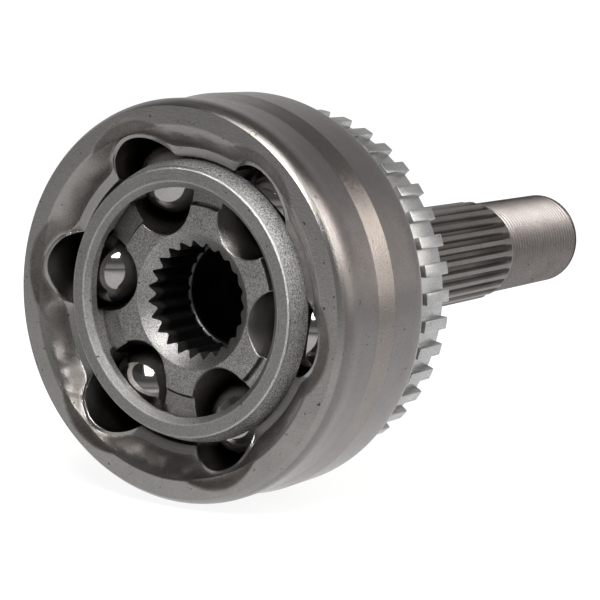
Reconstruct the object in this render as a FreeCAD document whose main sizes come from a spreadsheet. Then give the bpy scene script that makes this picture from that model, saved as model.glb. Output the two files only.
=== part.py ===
import FreeCAD, Part
import math
import os
import Sketcher

# Fixed constant-velocity joint of a front wheel: bell with stub axle, cage, inner race and six balls.
# Frame: millimetres, +Y along the spin axis from the open mouth to the stub, +Z up, origin at the
# joint centre, which is the centre of the cage's spheres.

TRACK_COUNT = 6
RING_TEETH = 41
STUB_SPLINE_TEETH = 25
BORE_SPLINE_TEETH = 23
THREAD_TURNS = 25
ON_ARC = "on "

# Any positive turn, in degrees: it sets the direction +Y, and the sheet then gives the angle.
FIRST_TURN = 10.0
# Distance in millimetres below which two edge positions are the same.
SAME_PLACE = 0.01
# Radial span in millimetres that tells an edge across the cage's wall from one along it.
WALL_SPAN = 2.0

# Least volume in cubic millimetres that each cut has to take away.
LEAST_REMOVED = {
    "Track": 800.0,
    "CentreHole": 20.0,
    "SplineGap": 50.0,
    "ThreadGroove": 20.0,
    "RingGap": 30.0,
    "Window": 500.0,
    "FrontLeadIn": 50.0,
    "RearLeadIn": 50.0,
    "CirclipGroove": 50.0,
    "StarTrack": 500.0,
    "BoreGap": 10.0,
}

# Driving sizes, in millimetres, degrees for the names that end in _angle. Axial sizes end in _y.
SIZES = {
    # balls and tracks
    "ball_radius": 8.334,
    "ball_circle_radius": 27.2,
    "track_offset": 3.4,
    "outer_track_clearance": 0.2,
    "inner_track_clearance": 0.25,
    "track_radius": 27.412,
    "track_angle": 10.15,
    "outer_track_sweep_angle": 52.0,
    "outer_track_end_y": 18.0,
    # cage
    "cage_outer_radius": 31.3,
    "cage_inner_radius": 27.0,
    "cage_half_y": 13.2,
    "cage_edge_radius": 25.6,
    "cage_edge_y": 12.0,
    "window_half_y": 8.634,
    "window_half_width": 9.9,
    "window_corner_radius": 2.4,
    "window_reach": 40.0,
    # bell of the outer race
    "mouth_y": 14.9,
    "rim_radius": 42.7,
    "rim_fillet_radius": 1.8,
    "dish_outer_radius": 37.1,
    "lip_outer_radius": 33.4,
    "lip_outer_y": 10.7,
    "lip_inner_radius": 30.6,
    "lip_inner_y": 9.8,
    "clamp_front_y": 9.2,
    "clamp_radius": 42.3,
    "clamp_rear_y": 3.3,
    "bell_step_y": 2.4,
    "bell_band_radius": 43.3,
    "bell_band_y": 2.9,
    "bell_radius": 43.45,
    "bell_rear_y": 14.9,
    "bell_fillet_radius": 3.0,
    "neck_radius": 38.2,
    "neck_front_y": 17.9,
    "cavity_radius": 31.45,
    "cavity_floor_y": 27.5,
    # seat of the tone ring and bearing shoulder
    "ring_front_y": 22.3,
    "ring_seat_radius": 36.2,
    "ring_seat_end_y": 31.2,
    "dome_radius": 34.6,
    "dome_y": 33.2,
    "shoulder_radius": 22.0,
    "shoulder_y": 38.5,
    # stub axle
    "journal_radius": 15.0,
    "journal_end_y": 50.0,
    "spline_start_y": 52.0,
    "spline_radius": 12.85,
    "spline_root_radius": 11.65,
    "spline_gap_half_width": 0.95,
    "spline_root_half_width": 0.35,
    "spline_end_y": 112.4,
    "thread_radius": 12.0,
    "thread_start_y": 113.2,
    "thread_end_y": 151.0,
    "thread_pitch": 1.5,
    "thread_first_groove_y": 114.3,
    "thread_root_radius": 11.2,
    "thread_groove_half_width": 0.7,
    "thread_groove_reach": 12.41,
    "stub_tip_radius": 10.3,
    "stub_tip_y": 152.8,
    "centre_hole_radius": 3.0,
    "centre_hole_tip_radius": 0.05,
    "centre_hole_depth": 5.2,
    # tone ring
    "ring_valley_radius": 38.2,
    "ring_tip_radius": 39.77,
    "ring_rear_y": 31.6,
    "ring_chamfer": 0.4,
    "ring_gap_half_width": 1.68,
    "ring_reach_radius": 44.0,
    "ring_angle": -4.18,
    # inner race
    "star_radius": 26.85,
    "star_front_y": 8.2,
    "star_rear_y": 10.8,
    "star_face_radius": 20.4,
    "star_step_y": 7.4,
    "star_cone_y": 5.6,
    "star_cut_y": 12.0,
    "star_track_sweep_angle": 140.0,
    "bore_tip_radius": 11.4,
    "bore_root_radius": 12.7,
    "bore_gap_inner_radius": 10.6,
    "bore_gap_half_width": 1.95,
    "bore_root_half_width": 0.2,
    "bore_chamfer_radius": 14.6,
    "bore_chamfer_depth": 2.4,
    # retaining ring in the bore
    "circlip_wire_radius": 1.0,
    "circlip_radius": 12.05,
    "circlip_y": 7.2,
    "circlip_sweep_angle": 318.0,
    "circlip_groove_radius": 13.1,
    "circlip_groove_half_width": 1.1,
}


def size(name):
    """Value of a named size; a leading minus gives the opposite sign and 0 is the origin."""
    if name == "0":
        return 0.0
    if name.startswith("-"):
        return -SIZES[name[1:]]
    return SIZES[name]


def cell(name):
    """Expression that reads a named size from the sheet."""
    return "Dimensions." + name


def add_sheet(doc):
    """Sheet with one row for each size: its name, its value and its alias."""
    sheet = doc.addObject("Spreadsheet::Sheet", "Dimensions")
    for row, (name, value) in enumerate(SIZES.items(), start=1):
        sheet.set("A%d" % row, name)
        sheet.set("B%d" % row, str(value))
        sheet.setAlias("B%d" % row, name)
    doc.recompute()
    return sheet


def add_body(doc, label):
    """Empty body that carries the node's name."""
    body = doc.addObject("PartDesign::Body", label)
    body.Label = label
    return body


def turn_about_spin_axis(body, angle_name):
    """Turns a finished body about +Y by a named angle."""
    turn = FreeCAD.Rotation(FreeCAD.Vector(0, 1, 0), FIRST_TURN)
    body.Placement = FreeCAD.Placement(FreeCAD.Vector(), turn)
    body.setExpression("Placement.Rotation.Angle", cell(angle_name) + " * 1 deg")


def origin_feature(body, role):
    """Plane or axis of the body's own origin, found by its role."""
    for feature in body.Origin.OriginFeatures:
        if feature.Role == role:
            return feature
    raise RuntimeError("no origin feature " + role)


def add_sketch(body, name, plane_role):
    """Empty sketch on one of the body's origin planes."""
    sketch = body.newObject("Sketcher::SketchObject", name)
    sketch.AttachmentSupport = [(origin_feature(body, plane_role), "")]
    sketch.MapMode = "FlatFace"
    return sketch


def bind_constraint(sketch, kind, terms, name):
    """Adds one driving constraint and binds it to the sheet."""
    index = sketch.addConstraint(Sketcher.Constraint(kind, *terms, SIZES[name]))
    sketch.setExpression("Constraints[%d]" % index, cell(name))


def pin(sketch, point, axis_kind, name):
    """Pins one coordinate of a point (geometry, end) to the origin by a named, signed size."""
    if name == "0":
        axis = -2 if axis_kind == "DistanceX" else -1
        sketch.addConstraint(Sketcher.Constraint("PointOnObject", *point, axis))
    elif name.startswith("-"):
        bind_constraint(sketch, axis_kind, (*point, -1, 1), name[1:])
    else:
        bind_constraint(sketch, axis_kind, (-1, 1, *point), name)


def arc_name(corner):
    """Name of the arc's radius for a corner that lies on an arc about the origin, else nothing."""
    x_name = corner[0]
    return x_name[len(ON_ARC):] if x_name.startswith(ON_ARC) else ""


def corner_point(corner):
    """Coordinates of a corner; a corner on an arc has the x that its y gives."""
    y = size(corner[1])
    radius_name = arc_name(corner)
    if radius_name:
        return FreeCAD.Vector(math.sqrt(SIZES[radius_name] ** 2 - y ** 2), y, 0)
    return FreeCAD.Vector(size(corner[0]), y, 0)


def add_origin_arc(sketch, start, end, radius_name):
    """Arc about the origin between two points; returns its geometry index and its two ends."""
    angles = sorted([math.atan2(start.y, start.x), math.atan2(end.y, end.x)])
    circle = Part.Circle(FreeCAD.Vector(), FreeCAD.Vector(0, 0, 1), SIZES[radius_name])
    index = sketch.addGeometry(Part.ArcOfCircle(circle, *angles))
    sketch.addConstraint(Sketcher.Constraint("Coincident", index, 3, -1, 1))
    bind_constraint(sketch, "Radius", (index,), radius_name)
    return index, (1, 2) if end.y > start.y else (2, 1)


def add_outline(body, name, plane_role, corners):
    """Closed outline through named corners; a side between two corners on one arc is that arc."""
    sketch = add_sketch(body, name, plane_role)
    points = [corner_point(corner) for corner in corners]
    sides = []
    for start in range(len(corners)):
        end = (start + 1) % len(corners)
        radius_name = arc_name(corners[start])
        if radius_name and radius_name == arc_name(corners[end]):
            sides.append(add_origin_arc(sketch, points[start], points[end], radius_name))
        else:
            index = sketch.addGeometry(Part.LineSegment(points[start], points[end]))
            sides.append((index, (1, 2)))
    for position, (index, ends) in enumerate(sides):
        next_index, next_ends = sides[(position + 1) % len(sides)]
        sketch.addConstraint(Sketcher.Constraint("Coincident", index, ends[1], next_index, next_ends[0]))
    for (index, ends), corner in zip(sides, corners):
        point = (index, ends[0])
        if not arc_name(corner):
            pin(sketch, point, "DistanceX", corner[0])
        pin(sketch, point, "DistanceY", corner[1])
    return sketch


def add_revolved(body, kind, name, sketch, angle=360.0):
    """Revolution or groove of a sketch about its own vertical axis, which is the spin axis."""
    feature = body.newObject(kind, name)
    feature.Profile = sketch
    feature.ReferenceAxis = (sketch, ["V_Axis"])
    feature.Angle = angle
    return feature


def add_primitive(body, kind, name, expressions, rotation=None):
    """PartDesign primitive with its sizes and place bound to the sheet."""
    feature = body.newObject(kind, name)
    if rotation is not None:
        feature.Placement = FreeCAD.Placement(FreeCAD.Vector(), rotation)
    for prop, expression in expressions.items():
        feature.setExpression(prop, expression)
    return feature


def add_polar_pattern(body, name, originals, count):
    """Copies features evenly about the spin axis."""
    pattern = body.newObject("PartDesign::PolarPattern", name)
    pattern.Originals = originals
    pattern.Axis = (origin_feature(body, "Y_Axis"), [""])
    pattern.Angle = 360.0
    pattern.Occurrences = count
    body.Tip = pattern
    return pattern


def circle_edges(shape, radius, place_y):
    """Names of the circular edges about the spin axis at a given radius and height."""
    names = []
    for number, edge in enumerate(shape.Edges, start=1):
        if not isinstance(edge.Curve, Part.Circle):
            continue
        same_radius = abs(edge.Curve.Radius - radius) < SAME_PLACE
        same_place = abs(edge.Curve.Center.y - place_y) < SAME_PLACE
        if same_radius and same_place:
            names.append("Edge%d" % number)
    return names


def add_fillet(doc, body, name, radius_name, edge_radius, edge_y):
    """Fillet on the circular edge at a given radius and height."""
    doc.recompute()
    base = body.Tip
    fillet = body.newObject("PartDesign::Fillet", name)
    fillet.Base = (base, circle_edges(base.Shape, edge_radius, edge_y))
    fillet.setExpression("Radius", cell(radius_name))
    return fillet


def add_axial_pocket(body, name, sketch, depth_expression, reverse):
    """Pocket of a sketch that lies across the spin axis."""
    pocket = body.newObject("PartDesign::Pocket", name)
    pocket.Profile = sketch
    pocket.Type = 0
    pocket.Reversed = reverse
    pocket.setExpression("Length", depth_expression)
    return pocket


def require_less(doc, body, feature):
    """Stops the build if a cut took away less material than it should."""
    doc.recompute()
    removed = feature.BaseFeature.Shape.Volume - feature.Shape.Volume
    if removed < LEAST_REMOVED[feature.Name]:
        raise RuntimeError("%s of %s removed only %.2f mm3" % (feature.Name, body.Label, removed))


def add_outer_race(doc):
    """Bell and stub axle, one forging: cavity, six tracks, stub spline and thread."""
    body = add_body(doc, "outer_race")
    corners = [
        ("0", "cavity_floor_y"),
        (ON_ARC + "cavity_radius", "cavity_floor_y"),
        (ON_ARC + "cavity_radius", "-lip_inner_y"),
        ("lip_inner_radius", "-lip_inner_y"),
        ("lip_outer_radius", "-lip_outer_y"),
        ("dish_outer_radius", "-mouth_y"),
        ("rim_radius", "-mouth_y"),
        ("rim_radius", "-clamp_front_y"),
        ("clamp_radius", "-clamp_front_y"),
        ("clamp_radius", "-clamp_rear_y"),
        ("bell_band_radius", "-bell_step_y"),
        ("bell_band_radius", "bell_band_y"),
        ("bell_radius", "bell_band_y"),
        ("bell_radius", "bell_rear_y"),
        ("neck_radius", "neck_front_y"),
        ("neck_radius", "ring_front_y"),
        ("ring_seat_radius", "ring_front_y"),
        ("ring_seat_radius", "ring_seat_end_y"),
        ("dome_radius", "dome_y"),
        ("shoulder_radius", "shoulder_y"),
        ("journal_radius", "shoulder_y"),
        ("journal_radius", "journal_end_y"),
        ("spline_radius", "spline_start_y"),
        ("spline_radius", "spline_end_y"),
        ("thread_radius", "thread_start_y"),
        ("thread_radius", "thread_end_y"),
        ("stub_tip_radius", "stub_tip_y"),
        ("0", "stub_tip_y"),
    ]
    sketch = add_outline(body, "RaceOutline", "XY_Plane", corners)
    add_revolved(body, "PartDesign::Revolution", "RaceBlank", sketch)
    add_fillet(doc, body, "RimFillet", "rim_fillet_radius", SIZES["rim_radius"], -SIZES["mouth_y"])
    add_fillet(doc, body, "BellFillet", "bell_fillet_radius", SIZES["bell_radius"], SIZES["bell_rear_y"])
    cut_outer_tracks(doc, body)
    cut_centre_hole(doc, body)
    cut_stub_spline(doc, body)
    cut_thread(doc, body)
    turn_about_spin_axis(body, "track_angle")
    return body


def add_track_path(body):
    """Centre line of a track: an arc about the offset centre, then a run parallel to the axis."""
    sketch = add_sketch(body, "TrackPath", "XY_Plane")
    centre = FreeCAD.Vector(0, -SIZES["track_offset"], 0)
    circle = Part.Circle(centre, FreeCAD.Vector(0, 0, 1), SIZES["track_radius"])
    sweep = math.radians(SIZES["outer_track_sweep_angle"])
    corner = FreeCAD.Vector(SIZES["track_radius"], -SIZES["track_offset"], 0)
    mouth = FreeCAD.Vector(SIZES["track_radius"], -SIZES["outer_track_end_y"], 0)
    run = sketch.addGeometry(Part.LineSegment(mouth, corner))
    arc = sketch.addGeometry(Part.ArcOfCircle(circle, 0.0, sweep))
    sketch.addConstraint(Sketcher.Constraint("Coincident", run, 2, arc, 1))
    sketch.addConstraint(Sketcher.Constraint("Vertical", run))
    pin(sketch, (run, 1), "DistanceY", "-outer_track_end_y")
    pin(sketch, (arc, 3), "DistanceX", "0")
    pin(sketch, (arc, 3), "DistanceY", "-track_offset")
    pin(sketch, (arc, 1), "DistanceY", "-track_offset")
    bind_constraint(sketch, "Radius", (arc,), "track_radius")
    end_height = SIZES["track_radius"] * math.sin(sweep) - SIZES["track_offset"]
    index = sketch.addConstraint(Sketcher.Constraint("DistanceY", -1, 1, arc, 2, end_height))
    end_expression = "%s * sin(%s * 1 deg) - %s"
    names = ("track_radius", "outer_track_sweep_angle", "track_offset")
    sketch.setExpression("Constraints[%d]" % index, end_expression % tuple(cell(name) for name in names))
    return sketch


def cut_outer_tracks(doc, body):
    """Six tracks with a round section a little larger than the balls."""
    path = add_track_path(body)
    section = add_sketch(body, "TrackSection", "XZ_Plane")
    section.setExpression("AttachmentOffset.Base.z", cell("outer_track_end_y"))
    centre = FreeCAD.Vector(SIZES["track_radius"], 0, 0)
    radius = SIZES["ball_radius"] + SIZES["outer_track_clearance"]
    circle = section.addGeometry(Part.Circle(centre, FreeCAD.Vector(0, 0, 1), radius))
    pin(section, (circle, 3), "DistanceX", "track_radius")
    pin(section, (circle, 3), "DistanceY", "0")
    index = section.addConstraint(Sketcher.Constraint("Radius", circle, radius))
    tube = cell("ball_radius") + " + " + cell("outer_track_clearance")
    section.setExpression("Constraints[%d]" % index, tube)
    track = body.newObject("PartDesign::SubtractivePipe", "Track")
    track.Profile = section
    track.Spine = (path, [""])
    require_less(doc, body, track)
    add_polar_pattern(body, "TrackPattern", [track], TRACK_COUNT)
    doc.recompute()


def cut_centre_hole(doc, body):
    """Lathe centre in the end face of the stub."""
    sizes = {
        "Radius1": cell("centre_hole_radius"),
        "Radius2": cell("centre_hole_tip_radius"),
        "Height": cell("centre_hole_depth"),
        "Placement.Base.y": cell("stub_tip_y"),
    }
    towards_bell = FreeCAD.Rotation(FreeCAD.Vector(1, 0, 0), 90)
    hole = add_primitive(body, "PartDesign::SubtractiveCone", "CentreHole", sizes, towards_bell)
    require_less(doc, body, hole)


def cut_stub_spline(doc, body):
    """Gaps between the teeth of the stub's drive spline."""
    corners = [
        ("-spline_gap_half_width", "journal_radius"),
        ("-spline_root_half_width", "spline_root_radius"),
        ("spline_root_half_width", "spline_root_radius"),
        ("spline_gap_half_width", "journal_radius"),
    ]
    sketch = add_outline(body, "SplineGapOutline", "XZ_Plane", corners)
    sketch.setExpression("AttachmentOffset.Base.z", "-" + cell("spline_end_y"))
    depth = "%s - %s" % (cell("spline_end_y"), cell("spline_start_y"))
    gap = add_axial_pocket(body, "SplineGap", sketch, depth, True)
    require_less(doc, body, gap)
    add_polar_pattern(body, "SplinePattern", [gap], STUB_SPLINE_TEETH)
    doc.recompute()


def cut_thread(doc, body):
    """Thread of the wheel nut, as one closed groove for each turn."""
    corners = [
        ("thread_groove_reach", "-thread_groove_half_width"),
        ("thread_root_radius", "0"),
        ("thread_groove_reach", "thread_groove_half_width"),
    ]
    sketch = add_outline(body, "ThreadOutline", "XY_Plane", corners)
    sketch.setExpression("AttachmentOffset.Base.y", cell("thread_first_groove_y"))
    groove = add_revolved(body, "PartDesign::Groove", "ThreadGroove", sketch)
    require_less(doc, body, groove)
    pattern = body.newObject("PartDesign::LinearPattern", "ThreadTurns")
    pattern.Originals = [groove]
    pattern.Direction = (origin_feature(body, "Y_Axis"), [""])
    pattern.setExpression("Length", "%d * %s" % (THREAD_TURNS - 1, cell("thread_pitch")))
    pattern.Occurrences = THREAD_TURNS
    body.Tip = pattern
    doc.recompute()


def add_abs_ring(doc):
    """Toothed speed-sensor ring, pressed on its seat behind the bell."""
    body = add_body(doc, "abs_ring")
    corners = [
        ("ring_seat_radius", "ring_front_y"),
        ("ring_tip_radius", "ring_front_y"),
        ("ring_tip_radius", "ring_rear_y"),
        ("ring_seat_radius", "ring_rear_y"),
    ]
    sketch = add_outline(body, "RingOutline", "XY_Plane", corners)
    add_revolved(body, "PartDesign::Revolution", "RingBlank", sketch)
    doc.recompute()
    base = body.Tip
    front = circle_edges(base.Shape, SIZES["ring_tip_radius"], SIZES["ring_front_y"])
    rear = circle_edges(base.Shape, SIZES["ring_tip_radius"], SIZES["ring_rear_y"])
    chamfer = body.newObject("PartDesign::Chamfer", "RingChamfer")
    chamfer.Base = (base, front + rear)
    chamfer.setExpression("Size", cell("ring_chamfer"))
    gap_corners = [
        ("ring_valley_radius", "-ring_gap_half_width"),
        ("ring_reach_radius", "-ring_gap_half_width"),
        ("ring_reach_radius", "ring_gap_half_width"),
        ("ring_valley_radius", "ring_gap_half_width"),
    ]
    gap_sketch = add_outline(body, "RingGapOutline", "XZ_Plane", gap_corners)
    gap_sketch.setExpression("AttachmentOffset.Base.z", "-" + cell("ring_rear_y"))
    depth = "%s - %s" % (cell("ring_rear_y"), cell("ring_front_y"))
    gap = add_axial_pocket(body, "RingGap", gap_sketch, depth, True)
    require_less(doc, body, gap)
    add_polar_pattern(body, "RingTeeth", [gap], RING_TEETH)
    turn_about_spin_axis(body, "ring_angle")
    return body


def add_cage(doc):
    """Spherical cage with six windows that hold the balls in one plane."""
    body = add_body(doc, "cage")
    corners = [
        (ON_ARC + "cage_outer_radius", "-cage_half_y"),
        (ON_ARC + "cage_outer_radius", "cage_half_y"),
        ("cage_edge_radius", "cage_half_y"),
        (ON_ARC + "cage_inner_radius", "cage_edge_y"),
        (ON_ARC + "cage_inner_radius", "-cage_edge_y"),
        ("cage_edge_radius", "-cage_half_y"),
    ]
    sketch = add_outline(body, "CageOutline", "XY_Plane", corners)
    add_revolved(body, "PartDesign::Revolution", "CageBlank", sketch)
    cut_cage_windows(doc, body)
    turn_about_spin_axis(body, "track_angle")
    return body


def cut_cage_windows(doc, body):
    """Six windows with rounded corners."""
    sizes = {
        "Length": cell("window_reach"),
        "Width": "2 * " + cell("window_half_y"),
        "Height": "2 * " + cell("window_half_width"),
        "Placement.Base.y": "-" + cell("window_half_y"),
        "Placement.Base.z": "-" + cell("window_half_width"),
    }
    window = add_primitive(body, "PartDesign::SubtractiveBox", "Window", sizes)
    require_less(doc, body, window)
    add_polar_pattern(body, "WindowPattern", [window], TRACK_COUNT)
    doc.recompute()
    base = body.Tip
    corners = []
    for number, edge in enumerate(base.Shape.Edges, start=1):
        heights = [abs(v.Point.y) for v in edge.Vertexes]
        at_corner = all(abs(height - SIZES["window_half_y"]) < SAME_PLACE for height in heights)
        ends = [math.hypot(v.Point.x, v.Point.z) for v in edge.Vertexes]
        if at_corner and len(ends) == 2 and abs(ends[0] - ends[1]) > WALL_SPAN:
            corners.append("Edge%d" % number)
    fillet = body.newObject("PartDesign::Fillet", "WindowCorners")
    fillet.Base = (base, corners)
    fillet.setExpression("Radius", cell("window_corner_radius"))


def add_inner_race(doc):
    """Inner race: barrel with six tracks, splined bore and the groove of the retaining ring."""
    body = add_body(doc, "inner_race")
    corners = [
        ("bore_tip_radius", "-star_front_y"),
        ("star_face_radius", "-star_front_y"),
        ("star_face_radius", "-star_step_y"),
        (ON_ARC + "star_radius", "-star_cone_y"),
        (ON_ARC + "star_radius", "star_rear_y"),
        ("bore_tip_radius", "star_rear_y"),
    ]
    sketch = add_outline(body, "StarOutline", "XY_Plane", corners)
    add_revolved(body, "PartDesign::Revolution", "StarBlank", sketch)
    cut_star_bore(doc, body)
    cut_star_tracks(doc, body)
    cut_bore_spline(doc, body)
    turn_about_spin_axis(body, "track_angle")
    return body


def cut_star_bore(doc, body):
    """Bore with a lead-in at both ends and the retaining ring's groove."""
    along_spin_axis = FreeCAD.Rotation(FreeCAD.Vector(1, 0, 0), -90)
    for side, end, name in ((-1, "star_front_y", "FrontLeadIn"), (1, "star_rear_y", "RearLeadIn")):
        sizes = {
            "Radius1": cell("bore_chamfer_radius"),
            "Radius2": cell("bore_tip_radius"),
            "Height": cell("bore_chamfer_depth"),
            "Placement.Base.y": "%d * %s" % (side, cell(end)),
        }
        inwards = FreeCAD.Rotation(FreeCAD.Vector(1, 0, 0), 90 * side)
        lead_in = add_primitive(body, "PartDesign::SubtractiveCone", name, sizes, inwards)
        require_less(doc, body, lead_in)
    groove_sizes = {
        "Radius": cell("circlip_groove_radius"),
        "Height": "2 * " + cell("circlip_groove_half_width"),
        "Placement.Base.y": "%s - %s" % (cell("circlip_y"), cell("circlip_groove_half_width")),
    }
    groove = add_primitive(
        body, "PartDesign::SubtractiveCylinder", "CirclipGroove", groove_sizes, along_spin_axis
    )
    require_less(doc, body, groove)


def cut_star_tracks(doc, body):
    """Six tracks, arcs about a centre that is offset towards the stub."""
    sizes = {
        "Radius1": cell("track_radius"),
        "Radius2": cell("ball_radius") + " + " + cell("inner_track_clearance"),
        "Angle3": cell("star_track_sweep_angle") + " * 1 deg",
        "Placement.Base.y": cell("track_offset"),
    }
    start = FreeCAD.Rotation(FreeCAD.Vector(0, 0, 1), -0.5 * SIZES["star_track_sweep_angle"])
    track = add_primitive(body, "PartDesign::SubtractiveTorus", "StarTrack", sizes, start)
    require_less(doc, body, track)
    add_polar_pattern(body, "StarTrackPattern", [track], TRACK_COUNT)
    doc.recompute()


def cut_bore_spline(doc, body):
    """Gaps between the teeth of the bore's serration."""
    corners = [
        ("-bore_gap_inner_radius", "bore_gap_half_width"),
        ("-bore_gap_inner_radius", "-bore_gap_half_width"),
        ("-bore_root_radius", "-bore_root_half_width"),
        ("-bore_root_radius", "bore_root_half_width"),
    ]
    sketch = add_outline(body, "BoreGapOutline", "XZ_Plane", corners)
    sketch.setExpression("AttachmentOffset.Base.z", cell("star_cut_y"))
    gap = add_axial_pocket(body, "BoreGap", sketch, "2 * " + cell("star_cut_y"), False)
    require_less(doc, body, gap)
    add_polar_pattern(body, "BoreSpline", [gap], BORE_SPLINE_TEETH)
    doc.recompute()


def add_circlip(doc):
    """Round-wire retaining ring for the drive shaft."""
    body = add_body(doc, "circlip")
    sketch = add_sketch(body, "WireSection", "XY_Plane")
    centre = FreeCAD.Vector(SIZES["circlip_radius"], SIZES["circlip_y"], 0)
    wire = Part.Circle(centre, FreeCAD.Vector(0, 0, 1), SIZES["circlip_wire_radius"])
    circle = sketch.addGeometry(wire)
    bind_constraint(sketch, "Radius", (circle,), "circlip_wire_radius")
    pin(sketch, (circle, 3), "DistanceX", "circlip_radius")
    pin(sketch, (circle, 3), "DistanceY", "circlip_y")
    ring = add_revolved(body, "PartDesign::Revolution", "Wire", sketch)
    ring.setExpression("Angle", cell("circlip_sweep_angle") + " * 1 deg")
    return body


def add_ball(doc, number):
    """One of the six balls, at its place on the ball circle."""
    ball = doc.addObject("Part::Sphere", "ball_%d" % number)
    ball.Label = "ball_%d" % number
    angle = "(%s + %d) * 1 deg" % (cell("track_angle"), (number - 1) * 360 // TRACK_COUNT)
    ball.setExpression("Radius", cell("ball_radius"))
    ball.setExpression("Placement.Base.x", "%s * cos(%s)" % (cell("ball_circle_radius"), angle))
    ball.setExpression("Placement.Base.z", "-%s * sin(%s)" % (cell("ball_circle_radius"), angle))
    return ball


def check_document(doc):
    """Stops the build on any object that failed to compute."""
    for item in doc.Objects:
        if "Invalid" in item.State or "Error" in item.State:
            raise RuntimeError("%s failed: %s" % (item.Name, item.State))


def export_nodes(nodes):
    """Checks every node's shape, then writes one STEP file for each node."""
    for node in nodes:
        if node.Shape.isNull() or not node.Shape.isValid():
            raise RuntimeError("%s has no valid shape" % node.Label)
        if len(node.Shape.Solids) != 1:
            raise RuntimeError("%s has %d solids" % (node.Label, len(node.Shape.Solids)))
    os.makedirs("parts", exist_ok=True)
    for node in nodes:
        node.Shape.exportStep("parts/%s.step" % node.Label)


document = FreeCAD.newDocument("cv_joint")
add_sheet(document)
part_nodes = [
    add_outer_race(document),
    add_abs_ring(document),
    add_cage(document),
    add_inner_race(document),
    add_circlip(document),
]
part_nodes += [add_ball(document, number) for number in range(1, TRACK_COUNT + 1)]
document.recompute()
check_document(document)
export_nodes(part_nodes)
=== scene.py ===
"""Dressed model of a fixed constant-velocity joint, in the frame of its CAD solids.

Shapes are made in millimetres around the spin axis: azimuth 0 points up (+Z) and grows towards
+X, and Y runs from the open mouth to the stub. Each finished mesh is turned to its phase and
scaled to metres.
"""
import logging
import math
from collections.abc import Callable, Mapping, Sequence
from dataclasses import dataclass, field, replace
from enum import Enum
from functools import partial

import bmesh
import bpy
from mathutils import Matrix, Vector, noise


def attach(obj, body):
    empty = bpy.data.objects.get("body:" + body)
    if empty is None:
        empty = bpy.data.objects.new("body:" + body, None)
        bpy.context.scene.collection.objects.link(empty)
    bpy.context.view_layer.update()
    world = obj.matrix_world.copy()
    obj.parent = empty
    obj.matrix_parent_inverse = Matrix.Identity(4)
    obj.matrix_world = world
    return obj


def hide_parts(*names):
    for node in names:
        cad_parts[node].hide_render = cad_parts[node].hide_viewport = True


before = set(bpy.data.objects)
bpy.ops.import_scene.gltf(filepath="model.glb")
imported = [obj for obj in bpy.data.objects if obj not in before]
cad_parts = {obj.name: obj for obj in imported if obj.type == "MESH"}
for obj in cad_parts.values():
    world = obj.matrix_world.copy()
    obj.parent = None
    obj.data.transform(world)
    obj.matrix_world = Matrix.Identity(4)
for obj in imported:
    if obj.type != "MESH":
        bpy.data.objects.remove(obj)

LOG = logging.getLogger("joint_scene")
MM = 0.001
CENTRE = (0.0, 0.0, 0.0)
AXIS = (0.0, 1.0, 0.0)
FULL_TURN = 360.0
TRACK_COUNT = 6
SECTOR = FULL_TURN / TRACK_COUNT
HALF_SECTOR = 0.5 * SECTOR
BISECTIONS = 36
MERGE_GAP = 1e-4
ROW_LAYER = "row"
FORGED_TONE_AND_SHADE_LAYER = "skin"


class Slot(Enum):
    """Material slots of the record."""

    FORGED = "forged_steel"
    ZINC = "zinc_plated_steel"
    CAGE = "cage_steel"
    RACE = "race_steel"
    SPRING = "spring_steel"
    BALL = "ball_steel"


# ---- places and outlines


def azimuth_of(place: Vector) -> float:
    """Azimuth of a point in degrees."""
    return math.degrees(math.atan2(place.x, place.z))


def radius_of(place: Vector) -> float:
    """Distance of a point from the spin axis."""
    return math.hypot(place.x, place.z)


@dataclass(frozen=True)
class Corner:
    """Corner of a turned outline in (radius, y), with the radius of its fillet."""

    radius: float
    y: float
    fillet: float = 0.0

    def flat(self) -> Vector:
        """Place in the outline's plane."""
        return Vector((self.radius, self.y))


@dataclass(frozen=True)
class Spot:
    """Place of a mesh point: azimuth in degrees, radius, y, and its share of the darker forged
    tone, which also paints shade into creases and scallops.
    """

    azimuth: float
    radius: float
    y: float
    skin: float = 0.0

    def vector(self) -> Vector:
        """Cartesian place in millimetres."""
        angle = math.radians(self.azimuth)
        return Vector((self.radius * math.sin(angle), self.y, self.radius * math.cos(angle)))


def corners(*values: tuple[float, ...]) -> tuple[Corner, ...]:
    """Corners from (radius, y) or (radius, y, fillet)."""
    return tuple(Corner(*value) for value in values)


def lerp(start: float, end: float, share: float) -> float:
    """Value at share of the way from start to end."""
    return start + (end - start) * share


def held(share: float) -> float:
    """Share kept between 0 and 1."""
    return min(1.0, max(0.0, share))


def smooth_step(share: float) -> float:
    """Cubic ease of a share that is kept between 0 and 1."""
    share = held(share)
    return share * share * (3.0 - 2.0 * share)


def ease_curve(start: float, end: float, start_slope: float, end_slope: float,
               share: float) -> float:
    """Value of a cubic between two ends with a slope at each.

    Args:
        start: value at share 0.
        end: value at share 1.
        start_slope: slope at share 0.
        end_slope: slope at share 1.
        share: place between the ends.

    Returns:
        The value.
    """
    square, cube = share * share, share ** 3
    return (start * (2.0 * cube - 3.0 * square + 1.0) + end * (3.0 * square - 2.0 * cube)
            + start_slope * (cube - 2.0 * square + share) + end_slope * (cube - square))


def progress(value: float, span: tuple[float, float]) -> float:
    """Share of a span that a value has passed."""
    return (value - span[0]) / (span[1] - span[0])


def tooth_place(azimuth: float, teeth: int) -> float:
    """Place across a toothed ring: 0 in the middle of a gap, 1 in the middle of a tooth."""
    return abs((azimuth / (FULL_TURN / teeth) + 0.5) % 1.0 - 0.5) * 2.0


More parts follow.
